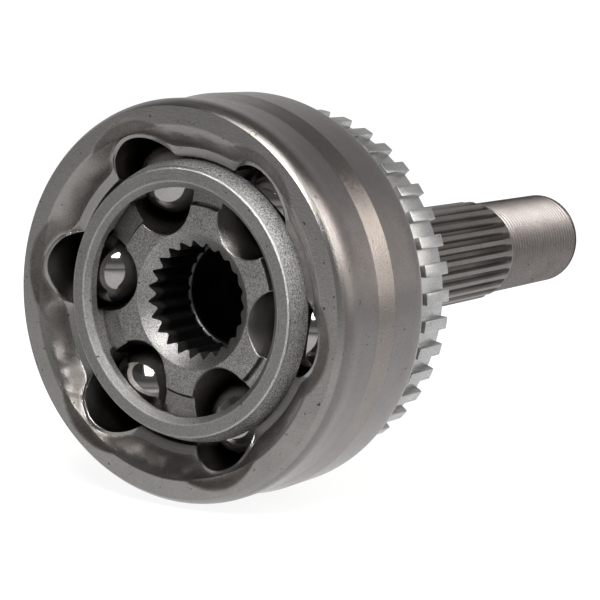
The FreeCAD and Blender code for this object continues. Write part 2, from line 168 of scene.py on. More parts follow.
def solve(gap: Callable[[float], float], low: float, high: float) -> float:
    """Root of a rising function by bisection.

    Args:
        gap: function that is negative at low and positive at high.
        low: lower end of the search.
        high: upper end of the search.

    Returns:
        The value where gap crosses zero.
    """
    for _ in range(BISECTIONS):
        middle = 0.5 * (low + high)
        if gap(middle) < 0.0:
            low = middle
        else:
            high = middle
    return 0.5 * (low + high)


def rounded_outline(outline: Sequence[Corner], steps: int = 4,
                    longest_share: float = 0.48) -> list[Corner]:
    """Replaces each filleted corner of an open outline by points on its arc.

    Args:
        outline: corners in order.
        steps: segments of each fillet.
        longest_share: most of a neighbouring run that a fillet may take.

    Returns:
        The outline's points without fillets.
    """
    points = []
    for index, corner in enumerate(outline):
        if corner.fillet <= 0.0 or index in (0, len(outline) - 1):
            points.append(replace(corner, fillet=0.0))
            continue
        here = corner.flat()
        before, after = (outline[index + way].flat() - here for way in (-1, 1))
        half = 0.5 * before.angle(after)
        reach = min(corner.fillet / math.tan(half), longest_share * before.length,
                    longest_share * after.length)
        before.normalize()
        after.normalize()
        start, end = here + before * reach, here + after * reach
        centre = here + (before + after).normalized() * (reach / math.cos(half))
        radius = (start - centre).length
        for step in range(steps + 1):
            chord = start.lerp(end, step / steps) - centre
            points.append(Corner(*(centre + chord.normalized() * radius)))
    return points


def divide_outline(points: Sequence[Corner], longest: float) -> list[Corner]:
    """Splits the straight runs of an outline.

    Args:
        points: outline without fillets.
        longest: length that no run is to pass.

    Returns:
        The outline with the points that were added.
    """
    result = [points[0]]
    for start, end in zip(points, points[1:]):
        run = math.hypot(end.radius - start.radius, end.y - start.y)
        count = max(1, math.ceil(run / longest))
        shares = [step / count for step in range(1, count + 1)]
        result += [Corner(lerp(start.radius, end.radius, share), lerp(start.y, end.y, share))
                   for share in shares]
    return result


def arc(radius: float, end_y: float, steps: int) -> list[Corner]:
    """Points of an arc around the origin.

    Args:
        radius: radius of the arc.
        end_y: height where the arc ends; it starts at the mirrored height.
        steps: segments of the arc.

    Returns:
        The points in order.
    """
    limit = math.degrees(math.asin(end_y / radius))
    angles = [math.radians(lerp(-limit, limit, step / steps)) for step in range(steps + 1)]
    return [Corner(radius * math.cos(angle), radius * math.sin(angle)) for angle in angles]


# ---- meshes


@dataclass(frozen=True)
class Row:
    """Ring of points of a spun shell: the spot at each azimuth, and its surface marks."""

    place: Callable[[float], Spot]
    marks: Mapping[str, float] = field(default_factory=dict)


def ring_row(radius: float, y: float) -> Row:
    """Row that is a plain circle."""
    return Row(lambda azimuth: Spot(azimuth, radius, y))


def spin(bm: bmesh.types.BMesh, geom: list, angle: float, steps: int, merge: bool = False,
         duplicate: bool = False) -> None:
    """Spins geometry about the joint's axis into a skin or copies, by an angle in radians."""
    bmesh.ops.spin(bm, geom=geom, cent=CENTRE, axis=AXIS, dvec=CENTRE, angle=angle, steps=steps,
                   use_merge=merge, use_duplicate=duplicate)


def repeat_around(bm: bmesh.types.BMesh, count: int) -> None:
    """Copies a whole mesh around the axis, so that count of it fill the turn."""
    geom = bm.verts[:] + bm.edges[:] + bm.faces[:]
    spin(bm, geom, math.tau * (count - 1) / count, count - 1, duplicate=True)


def bevel(bm: bmesh.types.BMesh, edges: list, offset: float, segments: int) -> None:
    """Rounds edges with a number of segments."""
    bmesh.ops.bevel(bm, geom=edges, offset=offset, offset_type="OFFSET", segments=segments,
                    profile=0.5, affect="EDGES", clamp_overlap=True, material=-1)


def spun_shell(rows: Sequence[Row], columns: int, closed: bool = False) -> bmesh.types.BMesh:
    """Spins a full-turn shell and moves every point to its row's place.

    Args:
        rows: rows from one end of the outline to the other.
        columns: steps of the full turn.
        closed: whether the last row joins the first.

    Returns:
        The shell, whose points carry the number of their row and their share of the darker forged
        tone and painted shade.
    """
    bm = bmesh.new()
    bm.verts.layers.int.new(ROW_LAYER)
    bm.verts.layers.float.new(FORGED_TONE_AND_SHADE_LAYER)
    layer, skin = bm.verts.layers.int[ROW_LAYER], bm.verts.layers.float[FORGED_TONE_AND_SHADE_LAYER]
    line = [bm.verts.new((0.0, float(row), 10.0 + 0.01 * row)) for row in range(len(rows))]
    for row, vert in enumerate(line):
        vert[layer] = row
    edges = [bm.edges.new(pair) for pair in zip(line, line[1:])]
    if closed:
        edges.append(bm.edges.new((line[-1], line[0])))
    spin(bm, line + edges, math.tau, columns, merge=True)
    for vert in bm.verts:
        spot = rows[vert[layer]].place(azimuth_of(vert.co) % FULL_TURN)
        vert.co, vert[skin] = spot.vector(), spot.skin
    bmesh.ops.remove_doubles(bm, verts=bm.verts[:], dist=MERGE_GAP)
    bmesh.ops.recalc_face_normals(bm, faces=bm.faces[:])
    return bm


def link_object(name: str, data: bpy.types.ID) -> bpy.types.Object:
    """Puts a new object into the scene.

    Args:
        name: name of the object.
        data: its mesh, light or camera.

    Returns:
        The object.
    """
    added = bpy.data.objects.new(name, data)
    bpy.context.scene.collection.objects.link(added)
    return added


def shade(mesh: bpy.types.Mesh, sharp_angle: float) -> None:
    """Shades a mesh smooth, with edges that bend more than an angle in degrees kept sharp."""
    mesh.shade_smooth()
    mesh.set_sharp_from_angle(angle=math.radians(sharp_angle))


def to_object(bm: bmesh.types.BMesh, name: str, phase: float,
              sharp_angle: float) -> bpy.types.Object:
    """Turns a mesh in millimetres into a finished piece in metres.

    Args:
        bm: mesh, freed here.
        name: name of the piece.
        phase: turn about the spin axis in degrees, towards growing azimuth.
        sharp_angle: edges that bend more than this stay sharp.

    Returns:
        The object, at the origin.
    """
    turn = Matrix.Rotation(math.radians(phase), 4, "Y")
    bmesh.ops.transform(bm, matrix=Matrix.Scale(MM, 4) @ turn, verts=bm.verts[:])
    mesh = bpy.data.meshes.new(name)
    bm.to_mesh(mesh)
    bm.free()
    shade(mesh, sharp_angle)
    return link_object(name, mesh)


def paint(piece: bpy.types.Object, name: str, values: Sequence[float]) -> None:
    """Writes a surface mark as a point attribute, from a value for each point."""
    piece.data.attributes.new(name, "FLOAT", "POINT").data.foreach_set("value", values)


def paint_points(piece: bpy.types.Object, name: str, value: Callable[[Vector], float]) -> None:
    """Writes a surface mark from the place of each point in millimetres."""
    paint(piece, name, [value(vert.co / MM) for vert in piece.data.vertices])


def shell_object(rows: Sequence[Row], columns: int, name: str, phase: float, sharp_angle: float,
                 closed: bool = False) -> bpy.types.Object:
    """Spins a shell into a finished piece and paints the marks of its rows.

    Args:
        rows: rows from one end of the outline to the other.
        columns: steps of the full turn.
        name: name of the piece.
        phase: turn about the spin axis in degrees.
        sharp_angle: edges that bend more than this stay sharp.
        closed: whether the last row joins the first.

    Returns:
        The object, at the origin.
    """
    piece = to_object(spun_shell(rows, columns, closed), name, phase, sharp_angle)
    numbers = [item.value for item in piece.data.attributes[ROW_LAYER].data]
    for mark in dict.fromkeys(mark for row in rows for mark in row.marks):
        paint(piece, mark, [rows[number].marks.get(mark, 0.0) for number in numbers])
    return piece


def subtract(piece: bpy.types.Object, cutter: bpy.types.Object) -> None:
    """Cuts one closed piece out of another and removes the cutter.

    Args:
        piece: object that is cut.
        cutter: object whose space is taken away.
    """
    modifier = piece.modifiers.new("cut", "BOOLEAN")
    modifier.operation, modifier.solver, modifier.object = "DIFFERENCE", "MANIFOLD", cutter
    bpy.context.view_layer.update()
    depsgraph = bpy.context.evaluated_depsgraph_get()
    cut_mesh = bpy.data.meshes.new_from_object(piece.evaluated_get(depsgraph))
    whole_mesh = piece.data
    piece.modifiers.clear()
    piece.data, cut_mesh.name = cut_mesh, piece.name
    bpy.data.meshes.remove(whole_mesh)
    bpy.data.objects.remove(cutter)


@dataclass(frozen=True)
class Dressing:
    """One piece to make: its builder, slot, the CAD node it stands for and its body."""

    build: Callable[[], bpy.types.Object]
    slot: Slot
    node: str
    body: str


class SubAssembly:
    """Part of the joint that builds and dresses its own pieces."""

    def pieces(self) -> list[Dressing]:
        """Pieces in the order of their making."""
        raise NotImplementedError

    def dress(self, looks: Mapping[Slot, bpy.types.Material]) -> None:
        """Builds each piece, gives it its finish and tells the frame where it belongs.

        Args:
            looks: material of each slot.
        """
        for entry in self.pieces():
            piece = entry.build()
            piece.data.materials.clear()
            piece.data.materials.append(looks[entry.slot])
            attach(piece, entry.body)
            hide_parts(entry.node)
            LOG.info("%s: %d faces on %s", piece.name, len(piece.data.polygons), entry.body)


# ---- tracks


@dataclass(frozen=True)
class Track:
    """Ball track: a tube around an arc in a plane through the spin axis.

    side is 1 for a track in a bore and -1 for a track in a shaft.
    """

    tube_radius: float
    arc_y: float
    side: float
    arc_radius: float = 27.412
    straight_mouth: bool = False
    sweep_end: float = 90.0

    def centre(self, y: float) -> float:
        """Radius of the centre line where it crosses a height.

        Args:
            y: height.

        Returns:
            The radius in millimetres.
        """
        height = y - self.arc_y
        if self.straight_mouth and height < 0.0:
            return self.arc_radius
        height = min(height, self.arc_radius * math.sin(math.radians(self.sweep_end)))
        return math.sqrt(self.arc_radius ** 2 - height ** 2)

    def distance(self, x: float, y: float, z: float) -> float:
        """Distance of a point from the centre line.

        Args:
            x: place across the track's plane.
            y: height.
            z: place along the track's radius.

        Returns:
            The distance in millimetres.
        """
        height = y - self.arc_y
        if self.straight_mouth and height < 0.0:
            return math.hypot(x, z - self.arc_radius)
        end = math.radians(self.sweep_end)
        if math.atan2(height, z) > end:
            return math.hypot(x, z - self.arc_radius * math.cos(end),
                              height - self.arc_radius * math.sin(end))
        return math.hypot(x, math.hypot(z, height) - self.arc_radius)

    def wall(self, y: float, angle: float, tube_radius: float) -> tuple[float, float]:
        """Point of the tube wall in the plane of one height.

        Args:
            y: height of the plane.
            angle: direction from the tube's centre in degrees, 0 at the bottom of the track.
            tube_radius: radius of the wall.

        Returns:
            The point's x and z, with z along the track's radius.
        """
        centre = self.centre(y)
        across = math.sin(math.radians(angle))
        along = self.side * math.cos(math.radians(angle))
        if self.distance(0.0, y, centre) >= tube_radius:
            return 0.0, centre
        reach = solve(lambda s: self.distance(s * across, y, centre + s * along) - tube_radius,
                      0.0, 2.5 * tube_radius)
        return reach * across, centre + reach * along


@dataclass(frozen=True)
class SectorGrid:
    """Columns of half a sector, from the track over its rounded edge to the land's centre."""

    track_columns: int = 16
    edge_columns: int = 4
    land_columns: int = 10
    crowding: float = 0.45
    least_depth: float = 0.02
    widest_angle: float = 170.0
    probe: float = 2.0

    @property
    def half(self) -> int:
        """Columns from the track's centre to the land's centre."""
        return self.track_columns + self.edge_columns + self.land_columns

    @property
    def full(self) -> int:
        """Columns of the full turn."""
        return 2 * self.half * TRACK_COUNT

    @property
    def step(self) -> float:
        """Degrees between even columns."""
        return HALF_SECTOR / self.half

    def circle(self, radius: float, y: float) -> list[Spot]:
        """Spots of a plain circle."""
        return [Spot(column * self.step, radius, y) for column in range(self.half + 1)]

    def section(self, track: Track, y: float, land_radius: float, grow: float = 0.0,
                rounding: float = 0.3) -> list[Spot]:
        """Spots of a tracked wall in the plane of one height.

        Args:
            track: track that the land is cut by.
            y: height of the plane.
            land_radius: radius of the land between tracks.
            grow: how much wider than the track the wall is.
            rounding: length on both walls that the rounded edge takes.

        Returns:
            One spot for each column, from the track's centre to the land's centre.
        """
        def wall(angle: float) -> tuple[float, float]:
            """Point of the wall at an angle from the track's bottom."""
            return track.wall(y, angle, track.tube_radius + grow)

        def gap(angle: float) -> float:
            """How far the wall at an angle is past the land."""
            return track.side * (land_radius - math.hypot(*wall(angle)))

        if gap(0.0) >= -self.least_depth:
            return self.circle(land_radius, y)
        edge_angle = solve(gap, 0.0, self.widest_angle)
        corner = Vector(wall(edge_angle))
        per_degree = math.dist(wall(edge_angle), wall(edge_angle - self.probe)) / self.probe
        track_end = edge_angle - rounding / max(per_degree, MM)
        land_start = math.degrees(math.atan2(*corner)) + math.degrees(rounding / land_radius)
        first, turn = Vector(wall(track_end)), math.radians(land_start)
        last = land_radius * Vector((math.sin(turn), math.cos(turn)))
        points = []
        for column in range(self.track_columns):
            share = column / self.track_columns
            eased = lerp(share, math.sin(0.5 * math.pi * share), self.crowding)
            points.append(wall(track_end * eased))
        for column in range(self.edge_columns + 1):
            share = column / self.edge_columns
            points.append(tuple(first.lerp(corner, share).lerp(corner.lerp(last, share), share)))
        spots = [Spot(math.degrees(math.atan2(*point)), math.hypot(*point), y) for point in points]
        for column in range(1, self.land_columns + 1):
            share = column / self.land_columns
            eased = lerp(share, 1.0 - math.cos(0.5 * math.pi * share), self.crowding)
            spots.append(Spot(lerp(land_start, HALF_SECTOR, eased), land_radius, y))
        return spots

    def spot(self, spots: Sequence[Spot], azimuth: float) -> Spot:
        """Mirrors and repeats the spots of half a sector around the full turn.

        Args:
            spots: one spot for each column of half a sector.
            azimuth: even azimuth of a column of the full turn, in degrees.

        Returns:
            The spot of that column.
        """
        sector = round(azimuth / SECTOR)
        local = azimuth - sector * SECTOR
        found = spots[round(abs(local) / self.step)]
        return replace(found, azimuth=math.copysign(found.azimuth, local) + sector * SECTOR)

    def row(self, spots: Sequence[Spot]) -> Row:
        """Row of a full turn from the spots of half a sector."""
        return Row(lambda azimuth: self.spot(spots, azimuth))


# ---- finishes


class Graph:
    """Small helper that adds and links the nodes of one tree."""

    def __init__(self, tree: bpy.types.NodeTree) -> None:
        """Keeps the tree."""
        self.tree = tree

    def add(self, kind: str, settings: Mapping[str, object] | None = None,
            **inputs: object) -> bpy.types.Node:
        """Adds a node.

        Args:
            kind: node type without its "ShaderNode" prefix.
            settings: properties of the node.
            inputs: value or socket for each input, named in lower case with underscores,
                or in_0, in_1 and so on by place.

        Returns:
            The new node.
        """
        node = self.tree.nodes.new("ShaderNode" + kind)
        for key, value in (settings or {}).items():
            setattr(node, key, value)
        names = {socket.name.lower().replace(" ", "_"): socket for socket in reversed(node.inputs)}
        for key, value in inputs.items():
            socket = node.inputs[int(key[3:])] if key.startswith("in_") else names[key]
            if isinstance(value, bpy.types.NodeSocket):
                self.tree.links.new(value, socket)
            else:
                socket.default_value = value
        return node

    def place(self) -> bpy.types.NodeSocket:
        """Object coordinates."""
        return self.add("TexCoord").outputs["Object"]

    def math(self, operation: str, *terms: object, clamp: bool = False) -> bpy.types.NodeSocket:
        """Result of a Math node."""
        inputs = {f"in_{number}": term for number, term in enumerate(terms)}
        return self.add("Math", {"operation": operation, "use_clamp": clamp}, **inputs).outputs[0]

    def times(self, first: object, second: object) -> bpy.types.NodeSocket:
        """Product of two values."""
        return self.math("MULTIPLY", first, second)

    def plus(self, first: object, second: object, clamp: bool = False) -> bpy.types.NodeSocket:
        """Sum of two values."""
        return self.math("ADD", first, second, clamp=clamp)

    def spread(self, value: object, low: float, high: float, to_low: float = 0.0,
               to_high: float = 1.0) -> bpy.types.NodeSocket:
        """Value mapped from low..high to another range and clamped."""
        return self.add("MapRange", value=value, from_min=low, from_max=high, to_min=to_low,
                        to_max=to_high).outputs[0]

    def tint(self, share: object, first: object, second: object) -> bpy.types.NodeSocket:
        """Colour between two colours."""
        return self.add("Mix", {"data_type": "RGBA"}, in_0=share, in_6=first,
                        in_7=second).outputs[2]

    def noise(self, vector: object, scale: object, detail: float = 3.0,
              roughness: float = 0.5) -> bpy.types.NodeSocket:
        """Value of a noise texture."""
        return self.add("TexNoise", vector=vector, scale=scale, detail=detail,
                        roughness=roughness).outputs[0]


class Effect(Enum):
    """Shared shader groups, each with its inputs and outputs."""

    GRAIN = ("skin_grain", ("Size", "Patch"), ("Grain", "Patches", "Pits"))
    TURNING = ("turned_rings", ("Pitch", "Streak"), ("Rings",))

    def start(self) -> tuple[Graph, dict[str, bpy.types.NodeSocket], bpy.types.NodeInputs]:
        """Makes the empty group.

        Returns:
            Its graph, the scale of each input, which is a length in millimetres, and the sockets
            that take its results.
        """
        name, inputs, outputs = self.value
        group = bpy.data.node_groups.new(name, "ShaderNodeTree")
        for way, titles in (("INPUT", inputs), ("OUTPUT", outputs)):
            for title in titles:
                group.interface.new_socket(title, in_out=way, socket_type="NodeSocketFloat")
        graph, entry = Graph(group), group.nodes.new("NodeGroupInput")
        scales = {title: graph.math("DIVIDE", 1.0 / MM, entry.outputs[title]) for title in inputs}
        return graph, scales, group.nodes.new("NodeGroupOutput").inputs

    def place(self, graph: Graph, **inputs: float) -> bpy.types.NodeOutputs:
        """Puts the group into a material with its own values.

        Args:
            graph: graph of the material.
            inputs: value of each input, named in lower case.

        Returns:
            The group's outputs.
        """
        node = graph.tree.nodes.new("ShaderNodeGroup")
        node.node_tree = bpy.data.node_groups[self.value[0]]
        for name, value in inputs.items():
            node.inputs[name.capitalize()].default_value = value
        return node.outputs


@dataclass(frozen=True)
class GrainEffect:
    """Speckle of a blasted or heat-treated surface: fine grain, coarser patches and rare pits."""

    pit_scale: float = 1100.0
    pit_range: tuple[float, float] = (0.73, 0.78)
    grain_range: tuple[float, float] = (0.36, 0.64)
    patch_range: tuple[float, float] = (0.3, 0.7)

    def build(self) -> None:
        """Makes the shared group."""
        graph, scales, sink = Effect.GRAIN.start()
        place = graph.place()
        fine = graph.noise(place, scales["Size"], 4.0, 0.65)
        patches = graph.noise(place, scales["Patch"], 3.0, 0.55)
        pits = graph.noise(place, self.pit_scale, 1.0)
        for title, value, limits in (("Pits", pits, self.pit_range),
                                     ("Grain", fine, self.grain_range),
                                     ("Patches", patches, self.patch_range)):
            graph.tree.links.new(graph.spread(value, *limits), sink[title])


@dataclass(frozen=True)
class TurningEffect:
    """Fine rings that a lathe or grinder leaves around the spin axis."""

    skew: float = 0.7
    ring_range: tuple[float, float] = (0.3, 0.7)

    def build(self) -> None:
        """Makes the shared group."""
        graph, scales, sink = Effect.TURNING.start()
        x, y, z = graph.add("SeparateXYZ", vector=graph.place()).outputs
        radius = graph.math("SQRT", graph.plus(graph.times(x, x), graph.times(z, z)))
        drift = graph.times(graph.plus(x, graph.times(z, self.skew)), scales["Streak"])
        place = graph.add("CombineXYZ", x=graph.times(radius, scales["Pitch"]),
                          y=graph.times(y, scales["Pitch"]), z=drift).outputs[0]
        rings = graph.spread(graph.noise(place, 1.0, 2.0), *self.ring_range)
        graph.tree.links.new(rings, sink["Rings"])


Colour = tuple[float, float, float, float]


def grey(value: float, warmth: float = 0.0, rose: float = 0.0) -> Colour:
    """Linear grey, with warmth moving it towards beige and rose towards pink."""
    return (value * (1.0 + warmth + rose), value, value * (1.0 - warmth), 1.0)


@dataclass(frozen=True)
class Zone:
    """Part of a surface with a look of its own, marked by a point attribute."""

    attribute: str
    dark: Colour
    light: Colour
    rough: float


@dataclass(frozen=True)
class SteelFinish:
    """Finish of a steel surface: two tints, grain, machining rings and a roughness range."""

    name: str
    dark: Colour
    light: Colour
    rough_low: float
    rough_high: float
    grain_size: float = 0.35
    patch_size: float = 7.0
    grain_depth: float = 0.01
    grain_share: float = 0.6
    ring_pitch: float = 0.3
    ring_streak: float = 25.0
    ring_depth: float = 0.004
    pit_share: float = 0.8
    pit_depth: float = 0.05
    pit_colour: Colour = grey(0.02)
    zones: tuple[Zone, ...] = ()

    def build(self) -> bpy.types.Material:
        """Makes the material.

        Returns:
            A material with its colour, roughness and bump from nodes.
        """
        material = bpy.data.materials.new(self.name)
        material.use_nodes = True
        material.node_tree.nodes.clear()
        graph = Graph(material.node_tree)
        grain = Effect.GRAIN.place(graph, size=self.grain_size, patch=self.patch_size)
        rings = Effect.TURNING.place(graph, pitch=self.ring_pitch, streak=self.ring_streak)
        share = graph.plus(graph.times(grain["Grain"], self.grain_share),
                           graph.times(grain["Patches"], 1.0 - self.grain_share), clamp=True)
        colour = graph.tint(share, self.dark, self.light)
        rough = graph.spread(share, 0.0, 1.0, self.rough_high, self.rough_low)
        for zone in self.zones:
            mark = graph.add("Attribute", {"attribute_name": zone.attribute}).outputs["Fac"]
            colour = graph.tint(mark, colour, graph.tint(share, zone.dark, zone.light))
            rough = graph.add("Mix", in_0=mark, in_2=rough, in_3=zone.rough).outputs[0]
        pits = graph.times(grain["Pits"], self.pit_share)
        height = graph.plus(graph.times(grain["Grain"], self.grain_depth),
                            graph.times(rings["Rings"], self.ring_depth))
        height = graph.math("SUBTRACT", height, graph.times(pits, self.pit_depth))
        bump = graph.add("Bump", strength=1.0, distance=MM, height=height).outputs[0]
        shader = graph.add("BsdfPrincipled", base_color=graph.tint(pits, colour, self.pit_colour),
                           metallic=1.0, roughness=rough, normal=bump)
        graph.add("OutputMaterial", surface=shader.outputs[0])
        return material


def finishes() -> dict[Slot, SteelFinish]:
    """Finish of each slot of the record.

    Returns:
        The finishes, with the zones of each surface in the order that they cover one another.
    """
    # Near-black painted shade in the bell's cavity and inside the star's bore.
    recess_shade_zone = Zone("hollow", grey(0.01), grey(0.02), 0.6)
    return {
        Slot.FORGED: SteelFinish(
            "forged_steel_finish", grey(0.185, 0.03), grey(0.24, 0.04), 0.2, 0.26,
            grain_depth=0.014, zones=(
                # Darker, warmer forged tone; it also paints shade into the crease beside the lip
                # and into the scallops above the tracks.
                Zone(FORGED_TONE_AND_SHADE_LAYER, grey(0.055, 0.06, 0.03), grey(0.125, 0.07, 0.03), 0.33),
                Zone("ground", grey(0.16, 0.05), grey(0.22, 0.05), 0.2),
                Zone("polished", grey(0.165, 0.05, 0.05), grey(0.22, 0.05, 0.05), 0.19),
                Zone("rolled", grey(0.12, 0.01, 0.07), grey(0.165, 0.01, 0.07), 0.24),
                Zone("splined", grey(0.1, 0.04, 0.05), grey(0.16, 0.04, 0.05), 0.38),
                # Near-black painted shade in the gaps between the spline's teeth.
                Zone("valley", grey(0.015, 0.1, 0.08), grey(0.04, 0.1, 0.08), 0.5),
                Zone("threaded", grey(0.11, 0.03, 0.07), grey(0.18, 0.03, 0.07), 0.36),
                recess_shade_zone)),
        Slot.ZINC: SteelFinish(
            "zinc_finish", grey(0.26, -0.01), grey(0.46, -0.01), 0.25, 0.38,
            grain_depth=0.015, grain_share=0.8),
        Slot.CAGE: SteelFinish(
            "cage_finish", grey(0.1), grey(0.8, 0.02), 0.45, 0.6,
            grain_depth=0.06, grain_size=0.32, grain_share=0.9, zones=(
                Zone("faced", grey(0.14), grey(0.24, 0.02), 0.36),
                # Lighter, smoother rim edges: rubbed steel, and a painted highlight along them.
                Zone("worn", grey(0.3), grey(0.5), 0.28))),
        Slot.RACE: SteelFinish(
            "race_finish", grey(0.08, 0.02), grey(0.34, 0.02), 0.3, 0.42,
            grain_depth=0.03, grain_size=0.26, grain_share=0.85, zones=(
                Zone("ground", grey(0.12, 0.05), grey(0.2, 0.05), 0.17),
                recess_shade_zone)),
        # Near-black wire: painted shade for its place deep in the bore.
        Slot.SPRING: SteelFinish("spring_finish", grey(0.04), grey(0.07), 0.3, 0.4),
        Slot.BALL: SteelFinish(
            "ball_finish", grey(0.24, 0.03), grey(0.3, 0.03), 0.07, 0.11,
            grain_depth=0.0005, ring_depth=0.0, pit_share=0.0),
    }


# ---- bell and stub axle


@dataclass
class Bell(SubAssembly):
    """Outer race: forged bell with six tracks, machined mouth, and its journal."""

    grid: SectorGrid = SectorGrid()
    track: Track = Track(tube_radius=8.534, arc_y=-3.4, side=1.0, straight_mouth=True,
                         sweep_end=52.0)
    phase: float = 40.15
    cavity_radius: float = 31.45
    cavity_step: float = 1.1
    floor_y: float = 27.5
    floor_ring: float = 8.0
    recess_shade_span: tuple[float, float] = (2.0, 14.0)
    opening_radius: float = 30.6
    wall_shares: tuple[float, ...] = (0.3, 0.6, 0.85)
    lip_start: float = 0.2
    lip_inner_y: float = -9.8
    lip_inner_slope: float = -0.673
    lip_width: float = 2.0
    lobe_lip_width: float = 0.7
    lip_depth: float = 4.0
    lip_outer_y: float = -10.4
    lip_outer_slope: float = -0.81
    lip_roundings: tuple[float, float] = (0.3, 2.6)
    lip_shares: tuple[float, ...] = (0.025, 0.09, 0.3, 0.5, 0.7, 0.9, 1.0)
    burr: float = 0.05
    mouth_y: float = -14.9
    crease_radius: float = 36.85
    crease_land_y: float = -14.65
    crease_lobe_y: float = -14.2
    trough_shares: tuple[float, ...] = (0.03, 0.08, 0.15, 0.23, 0.31, 0.4, 0.5, 0.6, 0.7, 0.8,
                                        0.89, 0.96, 1.0)
    trough_slopes: tuple[float, float] = (-1.5, -0.4)
    narrow_trough: float = 2.5
    skin_start: float = 0.5
    skin_band: tuple[float, float] = (0.8, 4.6)
    scallop_reach: float = 3.1
    scallop_least: float = 0.3
    scallop_half_width: float = 15.5
    scallop_edge: tuple[float, float] = (0.75, 1.05)
    face_radii: tuple[float, ...] = (36.98, 37.2, 37.5, 37.9, 38.3, 38.7, 39.1, 39.5, 39.9, 40.5)
    lip_edge: float = 32.8
    forge_bump: float = 0.5
    bump_scale: float = 0.16
    fine_bump_scale: float = 0.5
    fine_bump_share: float = 0.3
    bump_fade: float = 1.5
    scallop_bump: float = 0.35
    ragged_share: float = 0.3
    ragged_scale: float = 0.3
    ragged_shift: float = 40.0
    outer: tuple[Corner, ...] = corners(
        (41.2, -14.9), (41.49, -14.6), (41.75, -14.25), (41.98, -13.87), (42.24, -13.3),
        (42.45, -12.66), (42.58, -12.05), (42.67, -11.5), (42.7, -10.93), (42.7, -9.2, 0.15),
        (42.5, -9.0, 0.12), (42.54, -1.9), (42.55, -1.72), (42.57, -1.6), (42.62, -1.35),
        (43.4, 3.0), (43.43, 3.15), (43.45, 3.27), (43.45, 3.5), (43.45, 14.9, 3.0),
        (38.2, 17.9, 0.8), (38.2, 22.3), (36.15, 22.3), (36.15, 31.2, 0.4), (34.6, 33.2, 2.0),
        (22.0, 38.5, 1.2), (15.0, 38.5, 0.8), (15.0, 50.0, 0.3), (12.0, 52.0), (0.0, 52.0))
    longest_run: float = 3.0
    band_y: tuple[float, float] = (-1.65, 3.2)
    rolled_y: tuple[float, float] = (-13.4, 15.0)
    sharp_angle: float = 38.0
    rows: list[Row] = field(default_factory=list)

    def pieces(self) -> list[Dressing]:
        """The bell alone."""
        return [Dressing(self.build, Slot.FORGED, "outer_race", "outer_race")]

    @property
    def guide_y(self) -> float:
        """Height where the spherical wall meets the opening."""
        return -math.sqrt(self.cavity_radius ** 2 - self.opening_radius ** 2)

    def add_row(self, spots: Sequence[Spot], **marks: float) -> None:
        """Adds one row of half a sector, with how much of each surface mark it shows."""
        whole = self.grid.row(spots)
        self.rows.append(Row(lambda azimuth: self.weather(whole.place(azimuth)), marks))

    def add_cavity(self) -> None:
        """Adds the rows from the floor up the spherical wall to the opening."""
        floor_radius = math.sqrt(self.cavity_radius ** 2 - self.floor_y ** 2)
        # Painted shade: the cavity floor is fully dark.
        for radius in (0.0, self.floor_ring, floor_radius):
            self.add_row(self.grid.circle(radius, self.floor_y), hollow=1.0)
        y = self.floor_y
        while y > self.guide_y + 0.5 * self.cavity_step:
            y = max(y - self.cavity_step, self.guide_y)
            land = math.sqrt(self.cavity_radius ** 2 - y * y)
            # Painted shade grows down the wall towards the cavity floor.
            self.add_row(self.grid.section(self.track, y, land), ground=1.0,
                         hollow=smooth_step(progress(y, self.recess_shade_span)))

    def lip_section(self, share: float) -> list[Spot]:
        """Spots of the flat lip.

        Args:
            share: place from its inner edge at 0 to its outer edge at 1.

        Returns:
            One spot for each column, all at one height.
        """
        return self.grid.section(self.track, self.track.arc_y - self.lip_depth,
                                 self.opening_radius + self.lip_width * share,
                                 self.lobe_lip_width * share, lerp(*self.lip_roundings, share))

    def lip_edge_spots(self, share: float, y: float, slope: float) -> list[Spot]:
        """Edge of the lip, raised to a cone that passes through the land at a height."""
        spots, land = self.lip_section(share), self.opening_radius + self.lip_width * share
        return [replace(spot, y=y + slope * (spot.radius - land)) for spot in spots]

    def add_mouth(self) -> None:
        """Adds the rows from the opening over the lip to the flat face."""
        inner = self.lip_edge_spots(0.0, self.lip_inner_y, self.lip_inner_slope)
        outer = self.lip_edge_spots(1.0, self.lip_outer_y, self.lip_outer_slope)
        for share in self.wall_shares:
            self.add_row([replace(spot, y=lerp(self.guide_y, spot.y, share)) for spot in inner],
                         ground=1.0)
        self.add_row([replace(spot, y=spot.y + self.lip_start) for spot in inner])
        for share in self.lip_shares:
            rise = self.burr if share == self.lip_shares[0] else 0.0
            self.add_row([replace(spot, y=lerp(low.y, high.y, share) + rise)
                          for spot, low, high in zip(self.lip_section(share), inner, outer)])
        self.add_trough(outer)
        self.add_face()

    def crease_y(self, azimuth: float) -> float:
        """Height of the turned crease at an azimuth from the track's centre."""
        return lerp(self.crease_lobe_y, self.crease_land_y,
                    smooth_step(azimuth / self.scallop_half_width))

    def trough_spot(self, lip: Spot, azimuth: float, share: float) -> Spot:
        """Spot of the concave unmachined forging.

        Args:
            lip: spot on the lip's outer edge where its column starts.
            azimuth: azimuth on the turned crease where its column ends.
            share: place from the lip at 0 to the crease at 1.

        Returns:
            The spot, with its share of darker forged tone and painted shade.
        """
        crease_y, width = self.crease_y(azimuth), self.crease_radius - lip.radius
        slopes = [width * lerp((crease_y - lip.y) / width, slope,
                               smooth_step(width / self.narrow_trough))
                  for slope in self.trough_slopes]
        # Painted shade: dark in the crease just outside the lip, fading out across the slope.
        skin = (smooth_step(share * width / self.skin_start)
                * (1.0 - smooth_step(progress(share * width, self.skin_band))))
        return Spot(lerp(lip.azimuth, azimuth, share),
                    lerp(lip.radius, self.crease_radius, share),
                    ease_curve(lip.y, crease_y, *slopes, share), skin)

    def add_trough(self, outer: Sequence[Spot]) -> None:
        """Adds the rows of the unmachined forging.

        Args:
            outer: outer edge of the lip, where they start.
        """
        for share in self.trough_shares:
            self.add_row([self.trough_spot(lip, column * self.grid.step, share)
                          for column, lip in enumerate(outer)])

